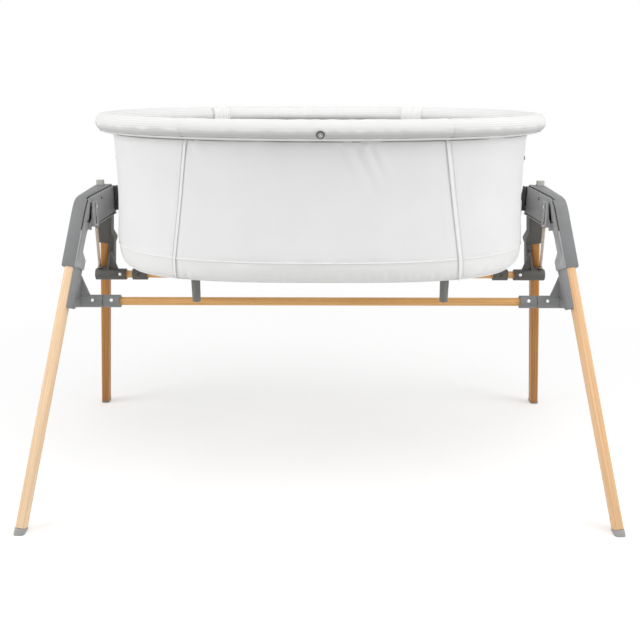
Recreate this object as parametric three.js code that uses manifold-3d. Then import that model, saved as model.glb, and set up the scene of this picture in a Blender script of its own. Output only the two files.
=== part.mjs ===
// Bassinet on a folding wooden stand. An oval fabric basket hangs by two hooks from the axles of
// two hubs. Each hub joins a fixed front leg to a rear leg that folds forward about the same axle.
// Millimetres. X runs along the basket, Y to the rear, Z up, and the floor is Z = 0.
import * as THREE from 'three';
import { mergeVertices } from 'three/addons/utils/BufferGeometryUtils.js';
import Module from 'manifold-3d';

const wasm = await Module();
wasm.setup();

// ---------------------------------------------------------------- driving dimensions

// Fits
const gap = 0.3; // between pieces that touch
const runningGap = 0.2; // around a pin that turns
const slotGap = 0.8; // around a piece that slides or swings through a slot

// Basket: half sizes at its widest level, and heights from the axle that it hangs on
const axleHeight = 555;
const basketLength = 399;
const basketWidth = 259;
const rimRise = 169; // middle of the rim above the axle
const rimOverhangX = 18; // middle of the rim beyond the basket
const rimOverhangY = 10;
const rimSquare = 2.1; // exponent of the rim's oval
const rimRadius = 17;
const rimTubeRadius = 9;
const rimTubeWall = 1.5;
const rimSlit = 3;
const clothThickness = 3;
const clothDrop = 28; // top of the straight wall below the rim's middle
const basketDrop = 98; // underside of the basket below the axle
const bandRise = 40; // top of the lower band above the underside
const waistInset = 4;
const waistShare = 0.5; // height of the narrowest level, from the band to the top of the wall
const upperShare = 0.85; // height of the level between the narrowest one and the top
const basketRound = 26; // radius of the lower edge
const edgeSquare = 2.6; // exponent of the ovals at the lower edge and inside the basket
const baseTubeRadius = 6;
const baseTubeShare = 0.604; // inset and lowest height of the base tube, of the lower edge's radius
const boardThickness = 5;
const boardMargin = 4; // between the board's edge and the start of the lower edge
const mattressThickness = 30;
const mattressEdge = 6;
const footPegInsetX = 170;
const footPegInsetY = 79;
const footPegTop = 8.5;
const footPegEnd = 7.6;
const footPegLength = 49;
const snapRadius = 7.5;
const snapThickness = 2.6;
const snapAngle = 24; // degrees below level

// Hanging parts of the basket
const sleeveRadius = 7;
const hangerStandOff = 0.6; // inner face of the hanger plate beyond the basket
const hangerThickness = 3.6;
const hangerRise = 16; // top above the axle
const hangerDrop = 20; // lower end below the axle
const hangerWidth = 26;
const hangerCorner = 6;
const hookWidth = 13;
const hookRise = 42;
const hookToeThickness = 3; // at the top of the hook

// Hub: thicknesses outwards from the hanger plate, and heights from the axle
const hubSpace = 12.2; // hanger plate's inner face to the hub's inner face, at the crest
const axleRadius = 5;
const crestRise = 45;
const crestFall = 0.16; // fall of the hub's top per unit of Y
const soffitDrop = 16;
const soffitFall = 0.2;
const shoulderRadius = 38;
const archRadius = 22;
const hubOutset = 2; // how far inside the leg's middle plane the hub's outer face is at the crest
const hubFaceSlant = 0.338; // how much further out the inner face lies per unit of Y
const lidThickness = 3;
const seamGap = 2.4; // open seam between the outer cover and the inner cover
const seamDrop = 26; // the open seam ends this far below the axle on the arms
const grooveInset = 5; // from the hub's underside
const grooveWidth = 2.2;
const grooveDepth = 2;
const hingeReach = 24; // the front hub ends this far behind the axle
const tongueRadius = 14;
const tongueInset = 16.2; // from the hub's inner face
const tongueThickness = 12;
const springRoom = 16.4; // tongue's outer face to the leg's middle plane, at the axle
const bossRadius = 12;

// Legs: each leg's axis leans inward as it rises
const legSpread = 92; // leg axis from the axle, along Y, at the axle's height
const splayX = 0.174; // lean along X per unit of height
const splayY = 0.3945; // lean along Y per unit of height
const legWidth = 19; // along X
const legDepth = 26; // along Y
const legCorner = 5;
const legTopDrop = 15;
const footCapHeight = 8; // under the leg axis
const footCapLip = 0.7; // how far the cap stands out around the leg
const footPlugRadius = 2.4;
const footPlugDepth = 3;
const footPlugHeight = 24;

// Arms that sleeve the legs
const armLength = 96.5; // lower end below the axle, on the leg's axis
const armWall = 3;
const armOutset = 14.5; // outer face from the leg's middle plane
const armInset = 12.5; // inner face from the leg's middle plane
const armEndRound = 7;
const hubBlockMargin = 4; // end of the slanted inner face before the leg's axis at the axle's height
const flareInset = 22.3; // inner face of the arm where it widens over the spine
const flareHeight = 28;
const flareStraight = 9; // the flare is full up to this height above the arm's end

// Guide ridge for the head of the folding brace
const ridgeMargin = 11; // before the end of the hub's slanted face
const ridgeRadius = 8;
const ridgeDrop = 26;
const ridgeRise = 23;
const ridgeSkin = 1.5;
const ridgeSlotWidth = 4;
const ridgeSlotInset = 1.5; // from the arm's inner face
const foldRange = 32; // degrees

// Brackets that tie the legs to the rails
const railDrop = 167.4; // below the axle
const railInset = 48.6; // rail from the leg's axis, along Y
const railRadius = 8;
const railDepth = 45; // how far the rail reaches into its socket
const socketRadius = 12.3;
const frontSocketReach = 64.5; // inwards from the leg's middle plane
const rearSocketReach = 58.2;
const socketReachOut = 8.5;
const saddleMargin = 1; // the saddle's top and bottom inside the socket's
const spineWidth = 10.4;
const spineDepth = 24;
const spineLap = 6.5; // how far the spine reaches into the arm
const spineEnd = 1.2; // the spine's square-cut end above the rail, on the leg's axis
const spineEndRound = 3;
const gussetThickness = 6;
const gussetShare = 0.73; // height of the gusset, from the rail to the spine's top
const gussetRun = 17.6;
const collarLength = 32;
const frontCollarSpace = 0.9; // between socket and collar
const rearCollarSpace = 14.3;

// Brace rods: the foot is placed from the rail's end, the head from the hub's inner face and the axle
const braceRadius = 3;
const braceFerruleRadius = 4.6;
const braceFerruleLength = 10;
const braceFootOut = 1.5;
const braceFootBack = 5.6;
const braceFootRise = 13.4;
const braceHeadIn = 21.8;
const braceHeadBack = 2; // behind the ridge's middle line
const braceHeadDrop = 27;

// Screws
const screwHeadRadius = 3.4;
const screwHeadHeight = 1.8;
const screwShankRadius = 1.8;
const collarScrewInset = 16.7; // from the collar's outer end
const frontScrewInset = 19.2; // from the socket's mouth
const rearScrewInset = 11.7;
const frontScrewTilt = 23; // degrees above level
const rearScrewTilt = 12;

// Fold-release buttons on the crests
const buttonWidth = 14.4;
const buttonDepth = 12;
const buttonRise = 8; // above the crest
const buttonFlange = 2;
const buttonFlangeHeight = 3.5;
const springSeatRise = 11; // above the axle
const springRadius = 2.5;
const springWire = 0.6;
const springTurns = 6;

// Facets
const ringSteps = 48;
const roundSteps = 20;
const wideSteps = 28;
const smallSteps = 12;
const fineSteps = 8;

// ---------------------------------------------------------------- derived places

const rimLength = basketLength + rimOverhangX;
const rimWidth = basketWidth + rimOverhangY;
const rimHeight = axleHeight + rimRise;
const clothTop = rimHeight - clothDrop;
const basketBottom = axleHeight - basketDrop;
const bandHeight = basketBottom + bandRise;

const hangerX = basketLength + hangerStandOff;
const hubFaceX = hangerX + hubSpace;
const tongueInnerX = hubFaceX + tongueInset;
const tongueOuterX = tongueInnerX + tongueThickness;
const footX = tongueOuterX + springRoom + splayX * axleHeight;
const footY = legSpread + splayY * axleHeight;
const crestHeight = axleHeight + crestRise;
const soffitHeight = axleHeight - soffitDrop;
const hubBlockY = legSpread - hubBlockMargin; // half length of the slanted inner face
const legTop = axleHeight - legTopDrop;
const armBottom = axleHeight - armLength;
const springSeat = axleHeight + springSeatRise;
const buttonX = tongueOuterX; // the button stands over the tongue's outer face
const springX = tongueOuterX + slotGap + springWire + springRadius;
const ridgeY = hubBlockY - ridgeMargin;
const ridgeBottom = axleHeight - ridgeDrop;
const ridgeTop = axleHeight + ridgeRise;

const railHeight = axleHeight - railDrop;
const railY = footY - splayY * railHeight - railInset;
const railEndX = footX - splayX * railHeight; // the leg's middle plane at the rail's height
const frontSocketX = railEndX - frontSocketReach; // inner end of the socket
const rearSocketX = railEndX - rearSocketReach;
const socketOuterX = railEndX + socketReachOut;
const frontCollarX = frontSocketX - frontCollarSpace; // outer end of the collar
const rearCollarX = rearSocketX - rearCollarSpace;
const spineTop = armBottom + spineLap;
const gussetTop = railHeight + gussetShare * (spineTop - railHeight);
const braceFoot = new THREE.Vector3(
  railEndX + braceFootOut,
  railY + braceFootBack,
  railHeight + braceFootRise,
);
const braceHead = new THREE.Vector3(
  hubFaceX + braceHeadIn,
  braceHeadBack - ridgeY,
  axleHeight - braceHeadDrop,
);

// ---------------------------------------------------------------- colours

const finishes = {
  ash: { color: 0xdcb283, roughness: 0.55, metalness: 0 },
  ashShaded: { color: 0xc98f4f, roughness: 0.55, metalness: 0 },
  ashRail: { color: 0xd2a968, roughness: 0.5, metalness: 0 },
  greyPlastic: { color: 0x87898b, roughness: 0.55, metalness: 0 },
  darkPlastic: { color: 0x4a4b4d, roughness: 0.6, metalness: 0 },
  lightPlastic: { color: 0xa9aaa6, roughness: 0.5, metalness: 0 },
  steel: { color: 0xc8cacc, roughness: 0.3, metalness: 0.9 },
  cloth: { color: 0xf1f1f1, roughness: 0.9, metalness: 0 },
  mesh: { color: 0xe9e9ea, roughness: 0.9, metalness: 0 },
  board: { color: 0xb9926a, roughness: 0.8, metalness: 0 },
};

// ---------------------------------------------------------------- solids

/** A closed geometry as a solid that can be joined and cut. */
function solid(geometry) {
  const bare = geometry.clone();
  bare.deleteAttribute('normal');
  bare.deleteAttribute('uv');
  const merged = mergeVertices(bare, 1e-4);
  const mesh = new wasm.Mesh({
    numProp: 3,
    vertProperties: new Float32Array(merged.attributes.position.array),
    triVerts: new Uint32Array(merged.index.array),
  });
  return new wasm.Manifold(mesh);
}

/** The geometry of a solid. */
function geometryOf(body) {
  const mesh = body.getMesh();
  const geometry = new THREE.BufferGeometry();
  geometry.setAttribute('position', new THREE.BufferAttribute(mesh.vertProperties, 3));
  geometry.setIndex(new THREE.BufferAttribute(mesh.triVerts, 1));
  return geometry;
}

function join(...bodies) {
  return bodies.reduce((sum, body) => sum.add(body));
}

function cut(body, ...tools) {
  return tools.reduce((rest, tool) => rest.subtract(tool), body);
}

function common(...bodies) {
  return bodies.reduce((rest, body) => rest.intersect(body));
}

// ---------------------------------------------------------------- outlines

/** Corner list [[a, b, radius], ...] as points, with each given radius as an arc. */
function rounded(corners, steps = 4) {
  const points = [];
  corners.forEach(([a, b, radius], i) => {
    const corner = new THREE.Vector2(a, b);
    if (!radius) {
      points.push(corner);
      return;
    }
    const before = corners[(i + corners.length - 1) % corners.length];
    const after = corners[(i + 1) % corners.length];
    const back = new THREE.Vector2(before[0] - a, before[1] - b).normalize();
    const ahead = new THREE.Vector2(after[0] - a, after[1] - b).normalize();
    const half = Math.acos(THREE.MathUtils.clamp(back.dot(ahead), -1, 1)) / 2;
    const reach = radius / Math.tan(half);
    const halfway = back.clone().add(ahead).normalize();
    const centre = corner.clone().addScaledVector(halfway, radius / Math.sin(half));
    const start = corner.clone().addScaledVector(back, reach).sub(centre);
    const end = corner.clone().addScaledVector(ahead, reach).sub(centre);
    let turn = end.angle() - start.angle();
    if (turn > Math.PI) turn -= 2 * Math.PI;
    if (turn < -Math.PI) turn += 2 * Math.PI;
    for (let k = 0; k <= steps; k += 1) {
      const arm = start.clone().rotateAround(new THREE.Vector2(), (turn * k) / steps);
      points.push(centre.clone().add(arm));
    }
  });
  return points;
}

/** An outline moved inward by a distance, each corner to where its two moved sides meet. */
function inset(points, distance) {
  const ring = THREE.ShapeUtils.isClockWise(points) ? [...points].reverse() : points;
  return ring.map((point, i) => {
    const before = ring[(i + ring.length - 1) % ring.length];
    const after = ring[(i + 1) % ring.length];
    const into = point.clone().sub(before).normalize();
    const out = after.clone().sub(point).normalize();
    const normal = new THREE.Vector2(-into.y - out.y, into.x + out.x).normalize();
    const lean = normal.dot(new THREE.Vector2(-into.y, into.x));
    return point.clone().addScaledVector(normal, distance / lean);
  });
}

function extruded(points, depth) {
  return new THREE.ExtrudeGeometry(new THREE.Shape(points), { depth, bevelEnabled: false, curveSegments: 1 });
}

/** A (y, z) outline carried along X from x0 to x1. */
function prismX(points, x0, x1) {
  const turn = new THREE.Matrix4().set(0, 0, 1, x0, 1, 0, 0, 0, 0, 1, 0, 0, 0, 0, 0, 1);
  return extruded(points, x1 - x0).applyMatrix4(turn);
}

/** An (x, z) outline carried along Y from y0 to y1. */
function prismY(points, y0, y1) {
  const turn = new THREE.Matrix4().set(1, 0, 0, 0, 0, 0, -1, y1, 0, 1, 0, 0, 0, 0, 0, 1);
  return extruded(points, y1 - y0).applyMatrix4(turn);
}

/** An (x, y) outline carried along Z from z0 to z1. */
function prismZ(points, z0, z1) {
  return extruded(points, z1 - z0).translate(0, 0, z0);
}

function points(pairs) {
  return pairs.map(([a, b]) => new THREE.Vector2(a, b));
}

/** A box between two corners. */
function block(x0, x1, y0, y1, z0, z1) {
  const box = new THREE.BoxGeometry(x1 - x0, y1 - y0, z1 - z0);
  return box.translate((x0 + x1) / 2, (y0 + y1) / 2, (z0 + z1) / 2);
}

/** A round bar between two points. */
function bar(from, to, radius, steps = roundSteps) {
  const along = to.clone().sub(from);
  const length = along.length();
  const turn = new THREE.Quaternion().setFromUnitVectors(new THREE.Vector3(0, 1, 0), along.normalize());
  const middle = from.clone().add(to).multiplyScalar(0.5);
  const cylinder = new THREE.CylinderGeometry(radius, radius, length, steps);
  return cylinder.applyQuaternion(turn).translate(...middle);
}

function discX(y, z, radius, x0, x1, steps = wideSteps) {
  return bar(new THREE.Vector3(x0, y, z), new THREE.Vector3(x1, y, z), radius, steps);
}

function roundRectangle(width, depth, radius) {
  const a = width / 2;
  const b = depth / 2;
  return rounded([[-a, -b, radius], [a, -b, radius], [a, b, radius], [-a, b, radius]]);
}

// ---------------------------------------------------------------- leg lines

const splayed = new THREE.Matrix4().set(1, 0, -splayX, footX, 0, 1, 0, 0, 0, 0, 1, 0, 0, 0, 0, 1);
const alongLeg = new THREE.Matrix4().set(1, 0, -splayX, footX, 0, 1, splayY, -footY, 0, 0, 1, 0, 0, 0, 0, 1);

function legX(z) {
  return footX - splayX * z;
}

function legY(z) {
  return -(footY - splayY * z);
}

/** From places across the leg and heights above a square cut, to their places on the leg. */
function squareTo(height) {
  const lean = 1 + splayX ** 2 + splayY ** 2;
  const [alongX, alongY] = [splayX / lean, -splayY / lean];
  const tilt = new THREE.Matrix4().set(1, 0, 0, 0, 0, 1, 0, 0, alongX, alongY, 1, height, 0, 0, 0, 1);
  return alongLeg.clone().multiply(tilt);
}

/** Everything below a square cut of the leg, and outside the rounds at the cut's front and rear. */
function belowSquare(height, halfDepth, round) {
  const size = 4 * legDepth;
  const below = solid(block(-size, size, -size, size, -size, round));
  const reach = halfDepth + slotGap;
  const side = rounded([[-reach, 0, round], [reach, 0, round], [reach, size, 0], [-reach, size, 0]]);
  const kept = solid(prismX(side, -2 * size, 2 * size));
  return solid(geometryOf(cut(below, kept)).applyMatrix4(squareTo(height)));
}

/** Everything below the leg's square-cut end. */
function belowLegEnd(offset) {
  const size = 4 * legDepth;
  return block(-size, size, -size, size, -size, offset).applyMatrix4(squareTo(footCapHeight));
}

// Every piece below is made for the front right corner, and mirrored to its own corner.

function legGeometry() {
  const section = roundRectangle(legWidth, legDepth, legCorner);
  const length = prismZ(section, -legDepth, legTop).applyMatrix4(alongLeg);
  const face = legX(footPlugHeight) - legWidth / 2;
  const bottom = face + footPlugDepth;
  const y = legY(footPlugHeight);
  const plug = discX(y, footPlugHeight, footPlugRadius, face - legWidth, bottom, smallSteps);
  return geometryOf(cut(solid(length), solid(belowLegEnd(gap)), solid(plug)));
}

function footCapGeometry() {
  const lip = 2 * footCapLip;
  const section = roundRectangle(legWidth + lip, legDepth + lip, legCorner + footCapLip);
  const length = prismZ(section, 0, 4 * footCapHeight).applyMatrix4(alongLeg);
  return geometryOf(common(solid(length), solid(belowLegEnd(0))));
}

// ---------------------------------------------------------------- hub and arm covers

const armHalfDepth = legDepth / 2 + armWall;

/** Where the line z = height - fall * |y| meets an arm's side line. */
function armCorner(height, fall, side) {
  const y = (footY + side * armHalfDepth - splayY * height) / (1 - splayY * fall);
  return [-y, height - fall * y];
}

/** The side outline of both arms and the hub between them, as (y, z) points. */
function hubOutline() {
  const shoulder = armCorner(crestHeight, crestFall, 1);
  const arch = armCorner(soffitHeight, soffitFall, -1);
  const low = armBottom - legDepth;
  const front = [
    [0, crestHeight, 0],
    [...shoulder, shoulderRadius],
    [legY(low) - armHalfDepth, low, 0],
    [legY(low) + armHalfDepth, low, 0],
    [...arch, archRadius],
    [0, soffitHeight, 0],
  ];
  const rear = front.slice(1, -1).reverse().map(([y, z, r]) => [-y, z, r]);
  return rounded([...front, ...rear]);
}

const reachY = footY;
const slantedX = (y) => hubFaceX + hubFaceSlant * Math.abs(y);

/** Everything outboard of the slanted inner face, moved outboard by an offset. */
function outboardOfFace(offset) {
  const outline = points([
    [hubFaceX + offset, 0],
    [slantedX(reachY) + offset, -reachY],
    [footX + reachY, -reachY],
    [footX + reachY, reachY],
    [slantedX(reachY) + offset, reachY],
  ]);
  return solid(prismZ(outline, 0, 2 * crestHeight));
}

/** The hub and both arms, from an inner offset of the leg plane to the outer face. */
function armBody(outline, innerOffset, outerShrink) {
  const side = prismX(outline, innerOffset, armOutset - outerShrink).applyMatrix4(splayed);
  const outer = armOutset - outerShrink;
  const plan = points([
    [innerOffset, -reachY],
    [outer, -reachY],
    [outer, -hubBlockY],
    [-hubOutset - outerShrink, 0],
    [outer, hubBlockY],
    [outer, reachY],
    [innerOffset, reachY],
  ]);
  return common(solid(side), solid(prismZ(plan, 0, 2 * crestHeight).applyMatrix4(splayed)));
}

/** The room of the hub block, where the inner face slants towards the crest. */
function hubRoom(halfLength) {
  const low = armBottom + archRadius;
  return solid(block(hubFaceX - reachY, footX + reachY, -halfLength, halfLength, low, 2 * crestHeight));
}

const outline = hubOutline();
const hollowOutline = inset(outline, armWall);
const legFace = legWidth / 2 + gap;
const stepY = hubBlockY - seamGap - lidThickness;
const far = 4 * crestHeight;
const farOffset = -2 * footX;

/** What belongs to the front hub: all before the axle, and a rounded end just behind it. */
function frontShare(clearance) {
  const reach = hingeReach + clearance;
  return join(
    solid(block(0, far, -far, 0, -far, far)),
    solid(block(0, far, -reach, reach, axleHeight, far)),
    solid(discX(0, axleHeight, reach, 0, far)),
  );
}

/** All that an arm leaves free: the way of its leg and its bracket's spine, and the room below it. */
function legWay() {
  const section = roundRectangle(legWidth + 2 * gap, legDepth + 2 * gap, legCorner);
  const y = spineDepth / 2 + gap;
  const spine = block(-legWidth / 2 - spineWidth - 2 * gap, 0, -y, y, 0, spineTop + gap);
  return join(
    solid(prismZ(section, 0, legTop + gap).applyMatrix4(alongLeg)),
    solid(spine.applyMatrix4(alongLeg)),
    belowSquare(armBottom, armHalfDepth, armEndRound),
  );
}

/** The hollow of both arms and the hub, closed by a wall at each arm's lower end. */
function hollow() {
  const ends = belowSquare(armBottom + armWall, armHalfDepth, armWall);
  return cut(armBody(hollowOutline, farOffset, armWall), ends, mirrorSolid(geometryOf(ends)));
}

/** The open tray of both arms and the hub: outer wall, top, front and underside. */
function tray() {
  const room = hubRoom(stepY - gap);
  const hubPart = common(armBody(outline, farOffset, 0), room, outboardOfFace(lidThickness + seamGap));
  const plateRoom = cut(hubRoom(hubBlockY), outboardOfFace(lidThickness + seamGap));
  const armPart = cut(armBody(outline, gap - legFace, 0), room, plateRoom);
  return cut(join(hubPart, armPart), hollow());
}

/** The lid of both arms and the hub: slanted plates on the hub, and the inner walls of the arms. */
function lid() {
  const plate = cut(
    common(armBody(inset(outline, seamGap), farOffset, 0), hubRoom(hubBlockY - seamGap), outboardOfFace(0)),
    outboardOfFace(lidThickness),
  );
  const step = common(
    armBody(hollowOutline, farOffset, armWall),
    cut(hubRoom(hubBlockY - seamGap), hubRoom(stepY)),
    outboardOfFace(0),
  );
  const low = armBottom - legDepth;
  const seamEnd = axleHeight - seamDrop;
  const inner = solid(prismX(outline, -armInset, -legFace - seamGap).applyMatrix4(splayed));
  const tenonSide = prismX(inset(outline, seamGap), -legFace - 2 * seamGap, -legFace);
  const tenon = solid(tenonSide.applyMatrix4(splayed));
  const closed = solid(block(-far, far, -far, far, low, seamEnd));
  const shutSide = common(solid(prismX(outline, -armInset, -legFace)), closed);
  const shut = solid(geometryOf(shutSide).applyMatrix4(splayed));
  const insideLeg = solid(prismX(outline, farOffset, -legFace).applyMatrix4(splayed));
  const wall = cut(join(inner, tenon, shut), hubRoom(stepY));
  return cut(join(plate, common(step, insideLeg), wall), grooves());
}

/** The grooves along the lower edges of the hub's slanted plates. */
function grooves() {
  const band = cut(
    armBody(inset(outline, grooveInset), farOffset, 0),
    armBody(inset(outline, grooveInset + grooveWidth), farOffset, -1),
  );
  const below = solid(block(0, far, -far, far, 0, axleHeight));
  return cut(common(band, below, hubRoom(hubBlockY - grooveInset)), outboardOfFace(grooveDepth));
}

/** The widened lower end of an arm's inner wall, which covers the bracket's spine. */
function flare() {
  const y = armHalfDepth - gap;
  const top = armBottom + flareHeight + armWall;
  const full = armBottom + flareStraight;
  const wide = new THREE.Vector2(-flareInset, full);
  const narrow = new THREE.Vector2(-armInset, armBottom + flareHeight);
  const slopeEnd = narrow.clone().add(narrow.clone().sub(wide));
  const low = armBottom - legDepth;
  const outer = block(-flareInset, gap - armInset, -y, y, low, top).applyMatrix4(alongLeg);
  const slope = prismY([
    wide,
    slopeEnd,
    new THREE.Vector2(-flareInset - armWall, slopeEnd.y),
    new THREE.Vector2(-flareInset - armWall, full),
  ], -far, far).applyMatrix4(splayed);
  return cut(solid(outer), solid(slope));
}

/** The boss that carries the axle in a cover. */
function axleBoss(x0, x1) {
  return solid(discX(0, axleHeight, bossRadius, x0, x1));
}

const axleBore = () => solid(discX(0, axleHeight, axleRadius + runningGap, 0, far));
const hubOuterX = legX(axleHeight) - hubOutset;

/** The room in which the tongue of the rear hub turns. */
function sweep() {
  return solid(discX(0, axleHeight, hingeReach + slotGap, tongueInnerX - slotGap, tongueOuterX + slotGap));
}

/** A point of the rear frame once the rear legs are folded. */
function folded(point) {
  const axle = new THREE.Vector3(0, 0, axleHeight);
  const turn = new THREE.Matrix4().makeRotationX(-THREE.MathUtils.degToRad(foldRange));
  return point.clone().sub(axle).applyMatrix4(turn).add(axle);
}

/** The way in which the head of the brace rod rises as the rear legs fold. */
function braceWay() {
  const front = -ridgeY - ridgeRadius + ridgeSkin;
  const low = armBottom + flareHeight;
  const high = ridgeTop - armWall;
  const head = folded(braceHead);
  const rod = folded(braceFoot).sub(head);
  const room = ((braceRadius + slotGap) * Math.hypot(rod.y, rod.z)) / Math.abs(rod.z);
  const back = (z) => head.y + (rod.y * (z - head.z)) / rod.z + room;
  const outline = points([[front, low], [front, high], [back(high), high], [back(low), low]]);
  return solid(prismX(outline, braceHead.x - braceRadius - slotGap, legX(ridgeBottom) - armWall));
}

function ridge() {
  const round = new THREE.CylinderGeometry(ridgeRadius, ridgeRadius, ridgeTop - ridgeBottom, roundSteps);
  round.rotateX(Math.PI / 2).translate(braceHead.x + ridgeRadius / 4, -ridgeY, (ridgeTop + ridgeBottom) / 2);
  return solid(round);
}

/** The slot between the ridge and the arm. */
function ridgeSlot() {
  const right = -armInset - ridgeSlotInset;
  const low = ridgeBottom + ridgeRadius;
  const top = ridgeTop - armWall;
  const way = block(right - ridgeSlotWidth, right, -hubBlockY - slotGap, -ridgeY, low, top);
  return solid(way.applyMatrix4(splayed));
}

function frontOuterCoverGeometry() {
  const aboveSeat = solid(block(0, far, -far, far, springSeat, far));
  const boss = cut(axleBoss(tongueOuterX + slotGap, hubOuterX), aboveSeat);
  const buttonWay = block(
    buttonX - buttonWidth / 2 - slotGap, buttonX + buttonWidth / 2 + slotGap,
    -buttonDepth / 2 - slotGap, buttonDepth / 2 + slotGap, axleHeight + tongueRadius, far,
  );
  const body = join(common(tray(), frontShare(0)), common(boss, armBody(outline, farOffset, 0)));
  return geometryOf(cut(body, legWay(), sweep(), axleBore(), braceWay(), solid(buttonWay)));
}

function frontInnerCoverGeometry() {
  const boss = common(
    axleBoss(hubFaceX, tongueInnerX - slotGap),
    outboardOfFace(lidThickness / 2),
    armBody(inset(outline, armWall + gap), farOffset, 0),
  );
  const body = join(common(lid(), frontShare(0)), boss, ridge(), flare());
  return geometryOf(cut(body, legWay(), sweep(), axleBore(), braceWay(), ridgeSlot()));
}

/** The rear share of the hub, mirrored to the front so that both arms are made alike. */
function rearShare(body) {
  return cut(body, frontShare(slotGap));
}

function rearOuterCoverGeometry() {
  const way = mirrorSolid(geometryOf(legWay()));
  const neckEnd = hubBlockY / 2;
  const neckLow = axleHeight - tongueRadius / 2;
  const neckHigh = axleHeight + tongueRadius;
  const tongue = join(
    solid(discX(0, axleHeight, tongueRadius, tongueInnerX, tongueOuterX)),
    common(
      solid(block(tongueInnerX, tongueOuterX, 0, neckEnd, neckLow, neckHigh)),
      outboardOfFace(lidThickness + gap),
    ),
    common(
      solid(block(tongueInnerX, far, hingeReach + 4 * slotGap, neckEnd, 0, far)),
      armBody(outline, farOffset, 0),
      outboardOfFace(2 * lidThickness),
    ),
  );
  return geometryOf(cut(join(rearShare(tray()), tongue), way, axleBore()));
}

function rearInnerCoverGeometry() {
  const half = cut(join(lid(), mirrorSolid(geometryOf(flare()))), solid(block(0, far, -far, 0, -far, far)));
  return geometryOf(cut(rearShare(half), mirrorSolid(geometryOf(legWay()))));
}

function mirrorSolid(geometry) {
  return solid(mirrored(geometry, 1, -1));
}

// ---------------------------------------------------------------- brackets, rails and rods

const screwFace = socketRadius - screwHeadHeight / 2; // underside of a screw's head, from the rail's axis
const frontBracketScrew = { x: frontSocketX + frontScrewInset, facing: -1, tilt: frontScrewTilt };
const frontCollarScrew = { x: frontCollarX - collarScrewInset, facing: -1, tilt: frontScrewTilt };
const rearBracketScrew = { x: rearSocketX + rearScrewInset, facing: 1, tilt: rearScrewTilt };
const rearCollarScrew = { x: rearCollarX - collarScrewInset, facing: 1, tilt: rearScrewTilt };

/** A round bar along a screw's axis, between two distances from the rail's axis. */
function screwBar({ x, facing, tilt }, near, end, radius, steps) {
  const angle = THREE.MathUtils.degToRad(tilt);
  const way = new THREE.Vector3(0, facing * Math.cos(angle), Math.sin(angle));
  const root = new THREE.Vector3(x, -railY, railHeight);
  const from = root.clone().addScaledVector(way, near);
  return solid(bar(from, root.addScaledVector(way, end), radius, steps));
}

function screwGeometry(place) {
  const head = screwBar(place, screwFace, screwFace + screwHeadHeight, screwHeadRadius, smallSteps);
  const shank = screwBar(place, railRadius + 2 * gap, screwFace + gap, screwShankRadius, fineSteps);
  return geometryOf(join(head, shank));
}

/** The seat that a screw needs in a socket or a collar. */
function screwSeat(place) {
  return join(
    screwBar(place, screwFace - gap, 2 * socketRadius, screwHeadRadius + gap, smallSteps),
    screwBar(place, 0, 2 * socketRadius, screwShankRadius + gap, fineSteps),
  );
}

/** The boss that holds a brace rod's foot, and the seat that the foot needs in it. */
function braceBoss() {
  const foot = mirroredPoint(braceFoot);
  const along = mirroredPoint(braceHead).sub(foot).normalize();
  const root = new THREE.Vector3(foot.x, -railY, railHeight);
  const end = foot.clone().addScaledVector(along, -gap);
  const far = end.clone().addScaledVector(along, braceFerruleLength);
  const lap = end.clone().addScaledVector(along, saddleMargin);
  const boss = bar(root, lap, braceFerruleRadius + saddleMargin, smallSteps);
  const room = bar(end, far, 2 * braceFerruleRadius);
  return { boss: cut(solid(boss), solid(room)), seat: solid(bar(end, far, braceFerruleRadius + gap)) };
}

/** The web and the rib that stiffen a bracket between its spine and its socket. */
function gussets(inner, legBack) {
  const socketTop = railHeight + socketRadius;
  const web = prismX(points([
    [legY(gussetTop), gussetTop],
    [-railY, gussetTop - 2 * gussetThickness],
    [-railY + socketRadius / 2, railHeight],
    [legBack, railHeight],
  ]), inner + saddleMargin, inner + saddleMargin + gussetThickness);
  const rib = prismY(points([
    [inner + gussetThickness, gussetTop - gussetThickness],
    [inner + gussetThickness / 2, gussetTop - gussetThickness],
    [inner - gussetRun / 3, (gussetTop + socketTop) / 2 - saddleMargin],
    [inner - gussetRun, socketTop - saddleMargin],
    [inner - gussetRun, railHeight],
    [inner + gussetThickness, railHeight],
  ]), -railY - gussetThickness, -railY);
  return solid(geometryOf(join(solid(web), solid(rib))).applyMatrix4(splayed));
}

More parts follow.
